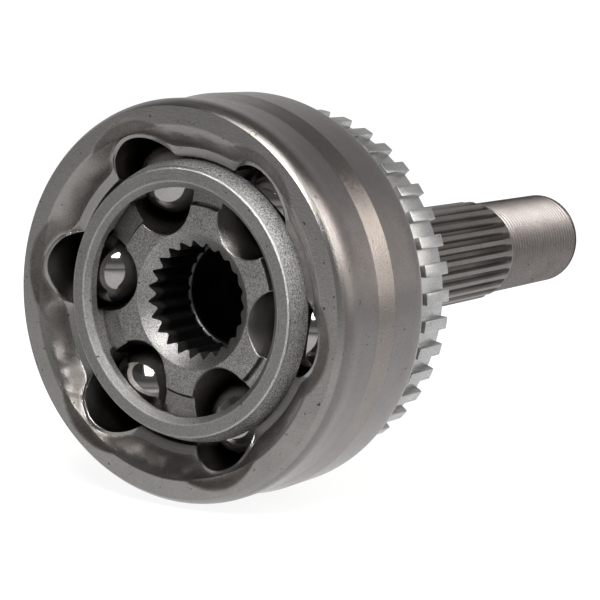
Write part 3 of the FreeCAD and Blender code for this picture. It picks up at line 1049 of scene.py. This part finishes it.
    def face_spot(self, flat: Spot) -> Spot:
        """Sinks a spot of the front face into the scallop above its track, darkened there with
        painted shade.

        Args:
            flat: spot on the flat face.

        Returns:
            The spot at its depth, with its share of darker forged tone and painted shade.
        """
        rise = max(0.0, 1.0 - (flat.azimuth / self.scallop_half_width) ** 2)
        share = ((flat.radius - self.crease_radius)
                 / max(self.scallop_least, self.scallop_reach * rise))
        depth = (self.crease_y(flat.azimuth) - self.mouth_y) * (1.0 - smooth_step(share))
        # Painted shade in the scallop, fading towards its outer edge.
        skin = (1.0 - smooth_step(progress(share, self.scallop_edge))) * smooth_step(4.0 * rise)
        return replace(flat, y=self.mouth_y + depth, skin=skin)

    def add_face(self) -> None:
        """Adds the rows of the flat face, from the turned crease outwards."""
        for radius in self.face_radii:
            self.add_row([self.face_spot(flat) for flat in self.grid.circle(radius, self.mouth_y)])

    def weather(self, spot: Spot) -> Spot:
        """Makes the unmachined forging uneven: low bumps, and a ragged edge where the cutter met
        it.

        Args:
            spot: even spot.

        Returns:
            The weathered spot, or the same one where the surface is machined.
        """
        if spot.skin <= 0.0 and not self.lip_edge < spot.radius < self.crease_radius:
            return spot
        place = spot.vector()
        shifted = place * self.ragged_scale + Vector((self.ragged_shift, 0.0, 0.0))
        fine = self.fine_bump_share * noise.noise(place * self.fine_bump_scale)
        bump = self.forge_bump * (noise.noise(place * self.bump_scale) + fine)
        inside = (smooth_step((spot.radius - self.lip_edge) / self.bump_fade)
                  * smooth_step((self.crease_radius - spot.radius) / self.bump_fade))
        ragged = self.ragged_share * noise.noise(shifted) * 4.0 * spot.skin * (1.0 - spot.skin)
        return replace(spot, y=spot.y + bump * max(inside, self.scallop_bump * spot.skin),
                       skin=held(spot.skin + ragged))

    def build(self) -> bpy.types.Object:
        """Builds the bell as one closed piece.

        Returns:
            The finished object, with an attribute for each surface mark on its points.
        """
        self.add_cavity()
        self.add_mouth()
        for corner in divide_outline(rounded_outline(self.outer), self.longest_run):
            polished = self.band_y[0] < corner.y < self.band_y[1]
            rolled = self.rolled_y[0] < corner.y < self.rolled_y[1] and not polished
            self.add_row(self.grid.circle(corner.radius, corner.y), polished=float(polished),
                         rolled=float(rolled))
        return shell_object(self.rows, self.grid.full, "bell_shell", self.phase, self.sharp_angle)


@dataclass
class StubAxle(SubAssembly):
    """Splined and threaded stub behind the bell."""

    teeth: int = 25
    phase: float = 10.15
    points_per_tooth: int = 12
    flank: tuple[float, float] = (0.26, 0.68)
    tip_radius: float = 12.85
    first_tip_radius: float = 12.4
    root_radius: float = 11.65
    spline_y: tuple[float, ...] = (
        50.05, 50.55, 51.6, 52.6, 53.6, 60.0, 68.0, 76.0, 84.0, 92.0, 98.0, 102.0, 103.5, 105.0,
        106.5, 108.0, 109.2, 110.3, 111.2, 111.7, 112.0, 112.2, 112.4)
    lead_in: float = 3.0
    run_out_length: float = 10.0
    run_out_rise: float = 0.95
    end_step: float = 0.9
    end_rise: float = 0.35
    least_tooth: float = 0.02
    least_valley: float = 0.6
    spline_sharp: float = 40.0
    thread_radius: float = 12.0
    thread_depth: float = 0.85
    thread_pitch: float = 1.5
    thread_y: tuple[float, float] = (112.9, 150.6)
    rows_per_turn: int = 10
    thread_columns: int = 120
    thread_fades: tuple[float, float] = (2.2, 1.6)
    thread_flank: tuple[float, float] = (0.04, 0.44)
    thread_sharp: float = 50.0
    overlap: float = 0.4
    tip_y: float = 152.8
    tip_corner_radius: float = 10.3
    hole_radius: float = 3.0
    hole_depth: float = 5.2

    def pieces(self) -> list[Dressing]:
        """The splined length and the threaded length."""
        return [Dressing(build, Slot.FORGED, "outer_race", "outer_race")
                for build in (self.build_spline, self.build_thread)]

    def tooth_share(self, azimuth: float) -> float:
        """Height of the tooth form at an azimuth, 0 in the gap and 1 on the crest."""
        return smooth_step(progress(tooth_place(azimuth, self.teeth), self.flank))

    def spline_radius(self, azimuth: float, y: float) -> float:
        """Radius of the toothed surface.

        Args:
            azimuth: azimuth from a gap's centre in degrees.
            y: height.

        Returns:
            The radius in millimetres.
        """
        start, end = self.spline_y[1], self.spline_y[-1]
        into_run_out = max(0.0, y - (end - self.run_out_length)) / self.run_out_length
        root = self.root_radius + self.run_out_rise * into_run_out ** 2
        tip = lerp(self.first_tip_radius, self.tip_radius, smooth_step((y - start) / self.lead_in))
        tip = lerp(tip, self.thread_radius + self.end_rise,
                   smooth_step((y - end + self.end_step) / self.end_step))
        return lerp(min(root, tip - self.least_tooth), tip, self.tooth_share(azimuth))

    def spline_row(self, y: float) -> Row:
        """Row that follows the teeth at a height."""
        return Row(lambda azimuth: Spot(azimuth, self.spline_radius(azimuth, y), y))

    def build_spline(self) -> bpy.types.Object:
        """Builds the toothed length.

        Returns:
            The finished object.
        """
        caps = [ring_row(0.0, self.spline_y[end]) for end in (0, -1)]
        rows = [caps[0], *map(self.spline_row, self.spline_y), caps[1]]
        piece = shell_object(rows, self.teeth * self.points_per_tooth, "stub_spline", self.phase,
                             self.spline_sharp)
        paint_points(piece, "splined", lambda place: 1.0)
        paint_points(piece, "valley", self.valley_share)
        return piece

    def valley_share(self, place: Vector) -> float:
        """Mark of painted shade in the gaps, most of all where the cutter runs out.

        Args:
            place: point in millimetres.

        Returns:
            0 on the crests, up to 1 in the gaps.
        """
        run_out = smooth_step((place.y - self.spline_y[-1]) / self.run_out_length + 2.0)
        gap = 1.0 - self.tooth_share(azimuth_of(place) - self.phase)
        return gap * lerp(self.least_valley, 1.0, run_out)

    def thread_height(self, azimuth: float, y: float) -> float:
        """Radius of the thread form, with a faded start and end.

        Args:
            azimuth: azimuth in degrees.
            y: height.

        Returns:
            The radius in millimetres.
        """
        turn = (y / self.thread_pitch - azimuth / FULL_TURN) % 1.0
        form = smooth_step(progress(abs(turn - 0.5), self.thread_flank))
        (start, end), (first, last) = self.thread_y, self.thread_fades
        fade = smooth_step((y - start) / first) * smooth_step((end + 1.2 - y) / last)
        return self.thread_radius - self.thread_depth * form * fade

    def thread_row(self, y: float) -> Row:
        """Row that follows the thread at a height."""
        return Row(lambda azimuth: Spot(azimuth, self.thread_height(azimuth, y), y))

    def build_thread(self) -> bpy.types.Object:
        """Builds the threaded length with its rounded end and centre hole.

        Returns:
            The finished object, which starts inside the spline.
        """
        first_y, (start, end) = self.spline_y[-1] - self.overlap, self.thread_y
        step = self.thread_pitch / self.rows_per_turn
        count = round((end - start) / step) + 2
        heights = [first_y] + [start - 0.3 + step * row for row in range(count)]
        tip = rounded_outline(corners(
            (self.thread_radius, end - self.overlap), (self.thread_radius, end + 0.2, 1.4),
            (self.tip_corner_radius, self.tip_y, 0.8), (self.hole_radius + 0.9, self.tip_y, 0.1),
            (self.hole_radius, self.tip_y - 0.8, 0.1),
            (self.hole_radius, self.tip_y - self.hole_depth + 1.5),
            (0.0, self.tip_y - self.hole_depth)))
        rows = [ring_row(0.0, first_y), *map(self.thread_row, heights)]
        rows += [ring_row(corner.radius, corner.y) for corner in tip
                 if corner.y > heights[-1] or corner.radius < self.thread_radius - 0.5]
        piece = shell_object(rows, self.thread_columns, "stub_thread", self.phase,
                             self.thread_sharp)
        paint_points(piece, "threaded", lambda place: 1.0)
        return piece


# ---- tone ring


@dataclass
class ToneRing(SubAssembly):
    """Toothed ring for the wheel-speed sensor, pressed on the bell's neck."""

    teeth: int = 41
    phase: float = 85.82
    bore_radius: float = 36.2
    valley_radius: float = 38.2
    tip_radius: float = 39.77
    front_y: float = 22.3
    rear_y: float = 31.6
    gap_half_width: float = 1.68
    edge_bevel: float = 0.22
    crest_steps: int = 3
    seam_width: float = 0.005
    least_bend: float = 30.0
    sharp_angle: float = 35.0

    def pieces(self) -> list[Dressing]:
        """The ring alone."""
        return [Dressing(self.build, Slot.ZINC, "abs_ring", "outer_race")]

    def sector_outline(self) -> list[Spot]:
        """Front outline of one tooth with half a gap at each side.

        Returns:
            The spots in order, from azimuth 0 to one pitch and back.
        """
        pitch, half = FULL_TURN / self.teeth, 0.5 * FULL_TURN / self.teeth
        valley_edge, tip_edge = (math.degrees(math.asin(self.gap_half_width / radius))
                                 for radius in (self.valley_radius, self.tip_radius))
        crest = [lerp(tip_edge, pitch - tip_edge, step / self.crest_steps)
                 for step in range(self.crest_steps + 1)]
        runs = ((self.valley_radius, (0.0, valley_edge)), (self.tip_radius, crest),
                (self.valley_radius, (pitch - valley_edge, pitch)),
                (self.bore_radius, (pitch, half, 0.0)))
        return [Spot(azimuth, radius, self.front_y) for radius, run in runs for azimuth in run]

    def build(self) -> bpy.types.Object:
        """Builds one sector, repeats it around the axis and bevels the teeth.

        Returns:
            The finished object.
        """
        bm = bmesh.new()
        face = bm.faces.new([bm.verts.new(spot.vector()) for spot in self.sector_outline()])
        grown = bmesh.ops.extrude_face_region(bm, geom=[face], use_keep_orig=True)
        moved = [item for item in grown["geom"] if isinstance(item, bmesh.types.BMVert)]
        bmesh.ops.translate(bm, vec=(0.0, self.rear_y - self.front_y, 0.0), verts=moved)
        limit, seams = FULL_TURN / self.teeth, []
        for side in bm.faces:
            angles = [azimuth_of(vert.co) for vert in side.verts]
            if max(angles) < self.seam_width or min(angles) > limit - self.seam_width:
                seams.append(side)
        bmesh.ops.delete(bm, geom=seams, context="FACES_ONLY")
        repeat_around(bm, self.teeth)
        bmesh.ops.remove_doubles(bm, verts=bm.verts[:], dist=10.0 * MERGE_GAP)
        bmesh.ops.recalc_face_normals(bm, faces=bm.faces[:])
        bevel(bm, [edge for edge in bm.edges if self.is_tooth_edge(edge)], self.edge_bevel, 2)
        return to_object(bm, "tone_ring", self.phase, self.sharp_angle)

    def is_tooth_edge(self, edge: bmesh.types.BMEdge) -> bool:
        """Tells the sharp outer edges of the teeth and of the front and rear faces.

        Args:
            edge: edge of the ring.

        Returns:
            Whether the edge is bevelled.
        """
        if len(edge.link_faces) != 2 or edge.calc_face_angle() < math.radians(self.least_bend):
            return False
        radii = [radius_of(vert.co) for vert in edge.verts]
        at_tip = max(radii) > self.valley_radius + 0.5
        return at_tip or min(radii) > self.valley_radius - 0.1 and edge.is_convex


# ---- cage


@dataclass
class Cage(SubAssembly):
    """Spherical cage with six windows."""

    phase: float = 10.15
    outer_radius: float = 31.3
    inner_radius: float = 27.0
    half_y: float = 13.2
    edge_radius: float = 25.6
    edge_y: float = 12.0
    bevel: float = 0.22
    ring_width: float = 0.15
    inner_bevel: tuple[tuple[float, float], ...] = (
        (0.25, 0.0), (0.1, 0.0), (-0.1, 0.1), (-0.25, 0.2))
    worn_width: float = 0.12
    outer_steps: int = 32
    inner_steps: int = 28
    columns: int = 288
    sharp_angle: float = 30.0
    window_half_y: float = 8.634
    window_half_width: float = 9.9
    window_corner: float = 2.4
    window_radius: float = 29.0
    window_reach: float = 10.0

    def pieces(self) -> list[Dressing]:
        """The cage alone."""
        return [Dressing(self.build, Slot.CAGE, "cage", "cage")]

    @property
    def rim_radius(self) -> float:
        """Radius of the turned faces' outer edge, inside its bevel."""
        return math.sqrt(self.outer_radius ** 2 - self.half_y ** 2) - self.bevel

    def outline(self) -> list[Corner]:
        """Closed outline of the ring, with small bevels at its edges.

        Returns:
            The outer sphere from rear to front, the front rim, the inner sphere and the rear rim.
        """
        inner_edge = math.sqrt(self.inner_radius ** 2 - self.edge_y ** 2)
        front = [Corner(self.rim_radius - inward, self.half_y) for inward in (0.0, self.ring_width)]
        front += [Corner(self.edge_radius + out, self.half_y - down)
                  for out, down in self.inner_bevel]
        front.append(Corner(inner_edge + self.worn_width, self.edge_y + 0.1))
        rear = [replace(corner, y=-corner.y) for corner in reversed(front)]
        inner = arc(self.inner_radius, self.edge_y - self.worn_width, self.inner_steps)
        return arc(self.outer_radius, self.half_y - self.bevel, self.outer_steps) + front + [
            *reversed(inner)] + rear

    def window_cutter(self) -> bpy.types.Object:
        """Makes the six rounded prisms that cut the windows.

        Returns:
            The cutter as one object.
        """
        bm = bmesh.new()
        bmesh.ops.create_cube(bm, size=2.0)
        bmesh.ops.scale(bm, vec=(self.window_half_width, self.window_half_y, self.window_reach),
                        verts=bm.verts[:])
        bevel(bm, [edge for edge in bm.edges
                   if abs(edge.verts[0].co.z - edge.verts[1].co.z) > self.window_reach],
              self.window_corner, 6)
        bmesh.ops.translate(bm, vec=(0.0, 0.0, self.window_radius), verts=bm.verts[:])
        bmesh.ops.rotate(bm, cent=CENTRE, matrix=Matrix.Rotation(0.5 * math.pi, 3, "Y"),
                         verts=bm.verts[:])
        repeat_around(bm, TRACK_COUNT)
        bmesh.ops.recalc_face_normals(bm, faces=bm.faces[:])
        return to_object(bm, "window_cutter", self.phase, self.sharp_angle)

    def build(self) -> bpy.types.Object:
        """Builds the ring and cuts its windows.

        Returns:
            The finished object, with marks for its turned faces and for its rim edges, rubbed and
            given a painted highlight.
        """
        rows = [ring_row(corner.radius, corner.y) for corner in self.outline()]
        piece = shell_object(rows, self.columns, "ball_cage", self.phase, self.sharp_angle,
                             closed=True)
        subtract(piece, self.window_cutter())
        shade(piece.data, self.sharp_angle)
        paint_points(piece, "worn", self.edge_rub_and_sheen_share)
        paint_points(piece, "faced", self.on_face)
        return piece

    def on_face(self, place: Vector) -> float:
        """1 on the turned front and rear faces, 0 elsewhere."""
        return float(abs(place.y) > self.edge_y and place.length < self.outer_radius - 0.05)

    def edge_rub_and_sheen_share(self, place: Vector) -> float:
        """1 on the outer edges of the front and rear rims, half of it on the inner ones: rubbed
        steel with a painted highlight.

        Args:
            place: point in millimetres.

        Returns:
            The share of rubbed steel and painted highlight.
        """
        radius, height = radius_of(place), abs(place.y)
        outer = height > self.half_y - self.bevel - 0.01 and radius > self.rim_radius - 0.01
        inner = (height > self.half_y - self.worn_width
                 and radius < self.edge_radius + self.worn_width)
        return float(outer) + 0.5 * float(inner)


# ---- inner race


@dataclass
class InnerRace(SubAssembly):
    """Star with six tracks, stepped front lands and a serrated bore."""

    grid: SectorGrid = SectorGrid()
    track: Track = Track(tube_radius=8.584, arc_y=3.4, side=-1.0)
    track_phase: float = 40.15
    star_radius: float = 26.85
    front_y: float = -8.2
    rear_y: float = 10.8
    face_radius: float = 20.4
    moat_width: float = 0.55
    moat_y: float = -6.4
    block_y: float = -7.3
    block_edge_radius: float = 25.85
    block_edge_y: float = -6.6
    sphere_step: float = 0.9
    bevel: float = 0.14
    core_radius: float = 14.72
    face_shares: tuple[float, ...] = (0.0, 0.25, 0.5, 0.75, 1.0)
    rear_shares: tuple[float, ...] = (0.0, 0.33, 0.66, 1.0)
    star_sharp: float = 34.0
    teeth: int = 23
    bore_phase: float = 280.15
    bore_sharp: float = 30.0
    points_per_tooth: int = 14
    flank: tuple[float, float] = (0.07, 0.81)
    tip_radius: float = 11.4
    root_radius: float = 12.7
    sleeve_gap: float = 0.02
    face_gap: float = 0.03
    chamfer_radius: float = 14.6
    chamfer_depth: float = 2.4
    cone_shares: tuple[float, ...] = (0.0, 0.35, 0.7, 1.0)
    tooth_shares: tuple[float, ...] = (0.3, 0.5, 0.7)

    def pieces(self) -> list[Dressing]:
        """The star and the sleeve of its bore."""
        return [Dressing(build, Slot.RACE, "inner_race", "inner_race")
                for build in (self.build_star, self.build_core)]

    def section(self, radius: float, y: float, grow: float = 0.0) -> list[Spot]:
        """Spots of the star in the plane of one height."""
        return self.grid.section(self.track, y, radius, grow)

    def between(self, first: Sequence[Spot], second: Sequence[Spot],
                shares: Sequence[float]) -> list[list[Spot]]:
        """Rows between two rows, one for each share of the way."""
        return [[Spot(lerp(a.azimuth, b.azimuth, share), lerp(a.radius, b.radius, share),
                      lerp(a.y, b.y, share)) for a, b in zip(first, second)] for share in shares]

    def moat_rows(self) -> list[list[Spot]]:
        """Rows of the narrow step around the front face, which dips only between the tracks.

        Returns:
            The rows, outwards from the face's edge.
        """
        land_start = self.grid.track_columns + self.grid.edge_columns + 1
        outer_radius = self.face_radius + self.moat_width
        corner_places = ((self.face_radius, self.moat_y), (outer_radius, self.moat_y),
                         (outer_radius, self.block_y + self.bevel))
        rows = []
        for step, (radius, y) in enumerate(corner_places, 1):
            share = step / (len(corner_places) + 1)
            base = self.section(lerp(self.face_radius, outer_radius + self.bevel, share),
                                lerp(self.front_y + self.bevel, self.block_y, share))
            rows.append([Spot(spot.azimuth, radius, y) if column >= land_start else spot
                         for column, spot in enumerate(base)])
        return rows

    def star_rows(self) -> list[list[Spot]]:
        """Rows from the front of the core over the star to the rear of the core.

        Returns:
            The rows, each of half a sector.
        """
        core = self.grid.circle(self.core_radius, self.front_y)
        face_edge = self.section(self.face_radius - self.bevel, self.front_y, self.bevel)
        rows = self.between(core, face_edge, self.face_shares)
        rows.append(self.section(self.face_radius, self.front_y + self.bevel))
        rows += self.moat_rows()
        block_radius = self.face_radius + self.moat_width + self.bevel
        rows += [self.section(lerp(block_radius, self.block_edge_radius, share),
                              lerp(self.block_y, self.block_edge_y, share))
                 for share in self.rear_shares]
        y = self.block_edge_y + 0.2
        while y < self.rear_y - 0.3:
            rows.append(self.section(math.sqrt(self.star_radius ** 2 - y * y), y))
            y += self.sphere_step
        rear = math.sqrt(self.star_radius ** 2 - (self.rear_y - self.bevel) ** 2)
        rows.append(self.section(rear, self.rear_y - self.bevel))
        rear_edge = self.section(rear - self.bevel, self.rear_y, self.bevel)
        rear_core = self.grid.circle(self.core_radius, self.rear_y)
        return rows + self.between(rear_edge, rear_core, self.rear_shares)

    def build_star(self) -> bpy.types.Object:
        """Builds the star as a closed ring around its serrated core.

        Returns:
            The finished object, with a mark for its ground tracks.
        """
        piece = shell_object([self.grid.row(spots) for spots in self.star_rows()], self.grid.full,
                             "race_star", self.track_phase, self.star_sharp, closed=True)
        paint_points(piece, "ground", self.on_track)
        return piece

    def on_track(self, place: Vector) -> float:
        """Mark of the ground track walls.

        Args:
            place: point in millimetres.

        Returns:
            1 on a track's wall, 0 elsewhere.
        """
        azimuth = azimuth_of(place) - self.track_phase
        local = math.radians((azimuth + HALF_SECTOR) % SECTOR - HALF_SECTOR)
        radius = radius_of(place)
        gap = self.track.distance(radius * math.sin(local), place.y, radius * math.cos(local))
        return float(abs(gap - self.track.tube_radius) < self.sleeve_gap)

    def bore_radius(self, azimuth: float) -> float:
        """Radius of the serrated bore at an azimuth from a gap's centre."""
        rise = held(progress(tooth_place(azimuth, self.teeth), self.flank))
        return lerp(self.root_radius, self.tip_radius, rise)

    def cone_row(self, share: float, face_y: float, way: float) -> Row:
        """Row of the chamfer that cuts the teeth back at one end of the bore.

        Args:
            share: place from the chamfer's outer edge at 0 to the teeth at 1.
            face_y: height of that end.
            way: 1 at the front and -1 at the rear.

        Returns:
            The row.
        """
        edge = self.chamfer_radius
        start_y, slope = face_y + way * self.face_gap, self.chamfer_depth / (edge - self.tip_radius)

        def place(azimuth: float) -> Spot:
            """Spot on the cone."""
            radius = lerp(edge, self.bore_radius(azimuth), share)
            return Spot(azimuth, radius, start_y + way * slope * (edge - radius))

        return Row(place)

    def tooth_row(self, y: float) -> Row:
        """Row that follows the serrations at a height."""
        return Row(lambda azimuth: Spot(azimuth, self.bore_radius(azimuth), y))

    def build_core(self) -> bpy.types.Object:
        """Builds the serrated sleeve that closes the star's bore.

        Returns:
            The finished object, with a mark of painted shade for its inside.
        """
        wall, edge = self.core_radius + self.sleeve_gap, self.chamfer_radius + 2.0 * self.face_gap
        teeth = [self.tooth_row(lerp(self.front_y, self.rear_y, share))
                 for share in self.tooth_shares]
        rear_cone = [self.cone_row(1.0 - share, self.rear_y, -1.0) for share in self.cone_shares]
        rows = [ring_row(wall, self.rear_y), ring_row(wall, self.front_y),
                ring_row(edge, self.front_y)]
        rows += [self.cone_row(share, self.front_y, 1.0) for share in self.cone_shares]
        # Painted shade on the teeth and the rear chamfer inside the bore.
        rows += [replace(row, marks={"hollow": 1.0}) for row in teeth + rear_cone]
        rows.append(ring_row(edge, self.rear_y))
        return shell_object(rows, self.teeth * self.points_per_tooth, "race_bore",
                            self.bore_phase, self.bore_sharp, closed=True)


@dataclass
class Circlip(SubAssembly):
    """Round wire ring in the bore."""

    wire_radius: float = 1.0
    ring_radius: float = 12.05
    y: float = 7.2
    sweep: float = 318.0
    phase: float = 111.0
    round_points: int = 24
    sweep_steps: int = 96
    sharp_angle: float = 40.0

    def pieces(self) -> list[Dressing]:
        """The wire alone."""
        return [Dressing(self.build, Slot.SPRING, "circlip", "inner_race")]

    def build(self) -> bpy.types.Object:
        """Builds the wire by turning its round end through the sweep.

        Returns:
            The finished object.
        """
        bm = bmesh.new()
        bmesh.ops.create_circle(bm, cap_ends=True, radius=self.wire_radius,
                                segments=self.round_points)
        bmesh.ops.rotate(bm, cent=CENTRE, matrix=Matrix.Rotation(0.5 * math.pi, 3, "Y"),
                         verts=bm.verts[:])
        bmesh.ops.translate(bm, vec=(0.0, self.y, self.ring_radius), verts=bm.verts[:])
        spin(bm, bm.faces[:], math.radians(self.sweep), self.sweep_steps)
        bmesh.ops.recalc_face_normals(bm, faces=bm.faces[:])
        return to_object(bm, "bore_circlip", self.phase, self.sharp_angle)


@dataclass
class BallSet(SubAssembly):
    """Six ground balls."""

    radius: float = 8.334
    circle_radius: float = 27.2
    phase: float = 100.15
    subdivisions: int = 6
    sharp_angle: float = 60.0

    def pieces(self) -> list[Dressing]:
        """The balls in order, each on a body of its own."""
        return [Dressing(partial(self.build, number), Slot.BALL, f"ball_{number}", f"ball_{number}")
                for number in range(1, TRACK_COUNT + 1)]

    def build(self, number: int) -> bpy.types.Object:
        """Builds one ball.

        Args:
            number: number of the ball, from 1.

        Returns:
            The finished object.
        """
        bm = bmesh.new()
        bmesh.ops.create_icosphere(bm, subdivisions=self.subdivisions, radius=self.radius)
        bmesh.ops.translate(bm, vec=(0.0, 0.0, self.circle_radius), verts=bm.verts[:])
        return to_object(bm, f"ground_ball_{number}", self.phase + SECTOR * (number - 1),
                         self.sharp_angle)


# ---- studio


Triple = tuple[float, float, float]


@dataclass(frozen=True)
class Softbox:
    """Rectangular area light that looks at the joint's centre, in millimetres and watts."""

    name: str
    place: Triple
    width: float
    height: float
    power: float
    colour: Triple = (1.0, 1.0, 1.0)

    def build(self) -> None:
        """Adds the light."""
        data = bpy.data.lights.new(self.name, "AREA")
        data.shape, data.energy, data.color = "RECTANGLE", self.power, self.colour
        data.size, data.size_y = self.width * MM, self.height * MM
        place = Vector(self.place) * MM
        turn = (-place).to_track_quat("-Z", "Y").to_matrix().to_4x4()
        link_object(self.name, data).matrix_world = Matrix.Translation(place) @ turn


@dataclass(frozen=True)
class Fade:
    """Fall of the floor's glow along a direction, to share of it between two distances."""

    direction: Triple
    start: float
    end: float
    share: float


@dataclass(frozen=True)
class Studio:
    """Light table, dim room with a bright horizon, soft lights and the camera."""

    floor_z: float = -43.7
    floor_radius: float = 6000.0
    floor_grey: float = 0.16
    floor_rough: float = 0.9
    floor_glow: float = 0.9
    floor_fades: tuple[Fade, ...] = (
        Fade((-0.667, -0.744, 0.0), 62.0, 140.0, 0.8),
        Fade((-0.557, 0.819, 0.0), 60.0, 300.0, 1.12),
        Fade((0.98, -0.2, 0.0), 70.0, 200.0, 0.5),
        Fade((0.6, -0.8, 0.0), 165.0, 350.0, 0.35))
    camera_place: Triple = (240.7, -321.1, 53.5)
    camera_right: Triple = (0.82676, 0.56256, 0.0)
    camera_up: Triple = (-0.07534, 0.11073, 0.99099)
    camera_reach: tuple[float, float] = (0.01, 20.0)
    lens: float = 113.26
    sensor_width: float = 36.0
    room_colour: Triple = (1.0, 0.985, 0.97)
    horizon_level: float = 1.05
    horizon_front: float = 0.35
    horizon_edge: tuple[float, float] = (0.024, 0.06)
    wall_level: float = 0.6
    ceiling_edge: tuple[float, float] = (0.56, 0.68)
    ceiling_share: float = 0.45
    front_share: float = 0.3
    front_depth: tuple[float, float] = (-0.35, 0.3)
    front_height: tuple[float, float] = (0.12, 0.4)
    boxes: tuple[Softbox, ...] = (
        Softbox("top_box", (160.0, -210.0, 540.0), 440.0, 460.0, 3.5, (1.0, 0.97, 0.93)),
        Softbox("side_box", (480.0, 130.0, 330.0), 300.0, 320.0, 1.8, (1.0, 0.96, 0.91)),
        Softbox("right_box", (595.0, 401.0, 219.0), 531.0, 500.0, 1.3, (1.0, 0.94, 0.87)),
        Softbox("front_box", (182.0, -322.0, 364.0), 200.0, 160.0, 2.8))

    def build_camera(self) -> None:
        """Adds the camera and makes it the scene's."""
        data = bpy.data.cameras.new("view_camera")
        data.lens, data.sensor_width = self.lens, self.sensor_width
        data.clip_start, data.clip_end = self.camera_reach
        right, up = (Vector(way).normalized() for way in (self.camera_right, self.camera_up))
        turn = Matrix((right, up, right.cross(up))).transposed().to_4x4()
        camera = link_object("view_camera", data)
        camera.matrix_world = Matrix.Translation(Vector(self.camera_place) * MM) @ turn
        bpy.context.scene.camera = camera

    def floor_material(self) -> bpy.types.Material:
        """Makes the glowing white paper of the floor.

        Returns:
            A material whose glow fades outside the part's surroundings.
        """
        material = bpy.data.materials.new("floor_paper")
        material.use_nodes = True
        shader = material.node_tree.nodes["Principled BSDF"]
        shader.inputs["Base Color"].default_value = grey(self.floor_grey)
        shader.inputs["Roughness"].default_value = self.floor_rough
        shader.inputs["Specular IOR Level"].default_value = 0.0
        shader.inputs["Emission Color"].default_value = grey(1.0)
        graph = Graph(material.node_tree)
        place, glow = graph.place(), self.floor_glow
        for fade in self.floor_fades:
            along = graph.add("VectorMath", {"operation": "DOT_PRODUCT"}, in_0=place,
                              in_1=fade.direction).outputs["Value"]
            glow = graph.times(glow, graph.spread(along, fade.start * MM, fade.end * MM, 1.0,
                                                  fade.share))
        graph.tree.links.new(glow, shader.inputs["Emission Strength"])
        return material

    def build_floor(self) -> None:
        """Adds the floor, a glowing white sheet."""
        bm = bmesh.new()
        bmesh.ops.create_circle(bm, cap_ends=True, radius=self.floor_radius * MM, segments=96)
        bmesh.ops.translate(bm, vec=(0.0, 0.0, self.floor_z * MM), verts=bm.verts[:])
        mesh = bpy.data.meshes.new("studio_floor")
        bm.to_mesh(mesh)
        bm.free()
        mesh.materials.append(self.floor_material())
        link_object("studio_floor", mesh)

    def build_world(self) -> None:
        """Adds the room: white at the horizon, lit rear walls, a dim front and a dim ceiling."""
        world = bpy.data.worlds.new("studio_world")
        world.use_nodes = True
        graph = Graph(world.node_tree)
        direction = graph.add("TexCoord").outputs["Generated"]
        _, depth, height = graph.add("SeparateXYZ", vector=direction).outputs
        walls = graph.spread(height, *self.ceiling_edge, self.wall_level,
                             self.wall_level * self.ceiling_share)
        low_down = graph.math("SUBTRACT", 1.0, graph.spread(height, *self.front_height))
        front = graph.math("MAXIMUM", low_down,
                           graph.spread(depth, *self.front_depth, self.front_share, 1.0))
        horizon = graph.times(graph.spread(height, *self.horizon_edge, self.horizon_level, 0.0),
                              graph.spread(depth, *self.front_depth, self.horizon_front, 1.0))
        background = world.node_tree.nodes["Background"]
        background.inputs["Color"].default_value = (*self.room_colour, 1.0)
        level = graph.math("MAXIMUM", horizon, graph.times(walls, front))
        graph.tree.links.new(level, background.inputs["Strength"])
        bpy.context.scene.world = world
        bpy.context.scene.view_settings.view_transform = "Standard"

    def build(self) -> None:
        """Builds the whole studio."""
        self.build_camera()
        self.build_floor()
        self.build_world()
        for box in self.boxes:
            box.build()


def main() -> None:
    logging.basicConfig(level=logging.INFO, format="%(message)s")
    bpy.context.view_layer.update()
    for effect in (GrainEffect(), TurningEffect()):
        effect.build()
    looks = {slot: finish.build() for slot, finish in finishes().items()}
    for assembly in (Bell(), StubAxle(), ToneRing(), Cage(), InnerRace(), Circlip(), BallSet()):
        assembly.dress(looks)
    Studio().build()


if __name__ == "__main__":
    main()
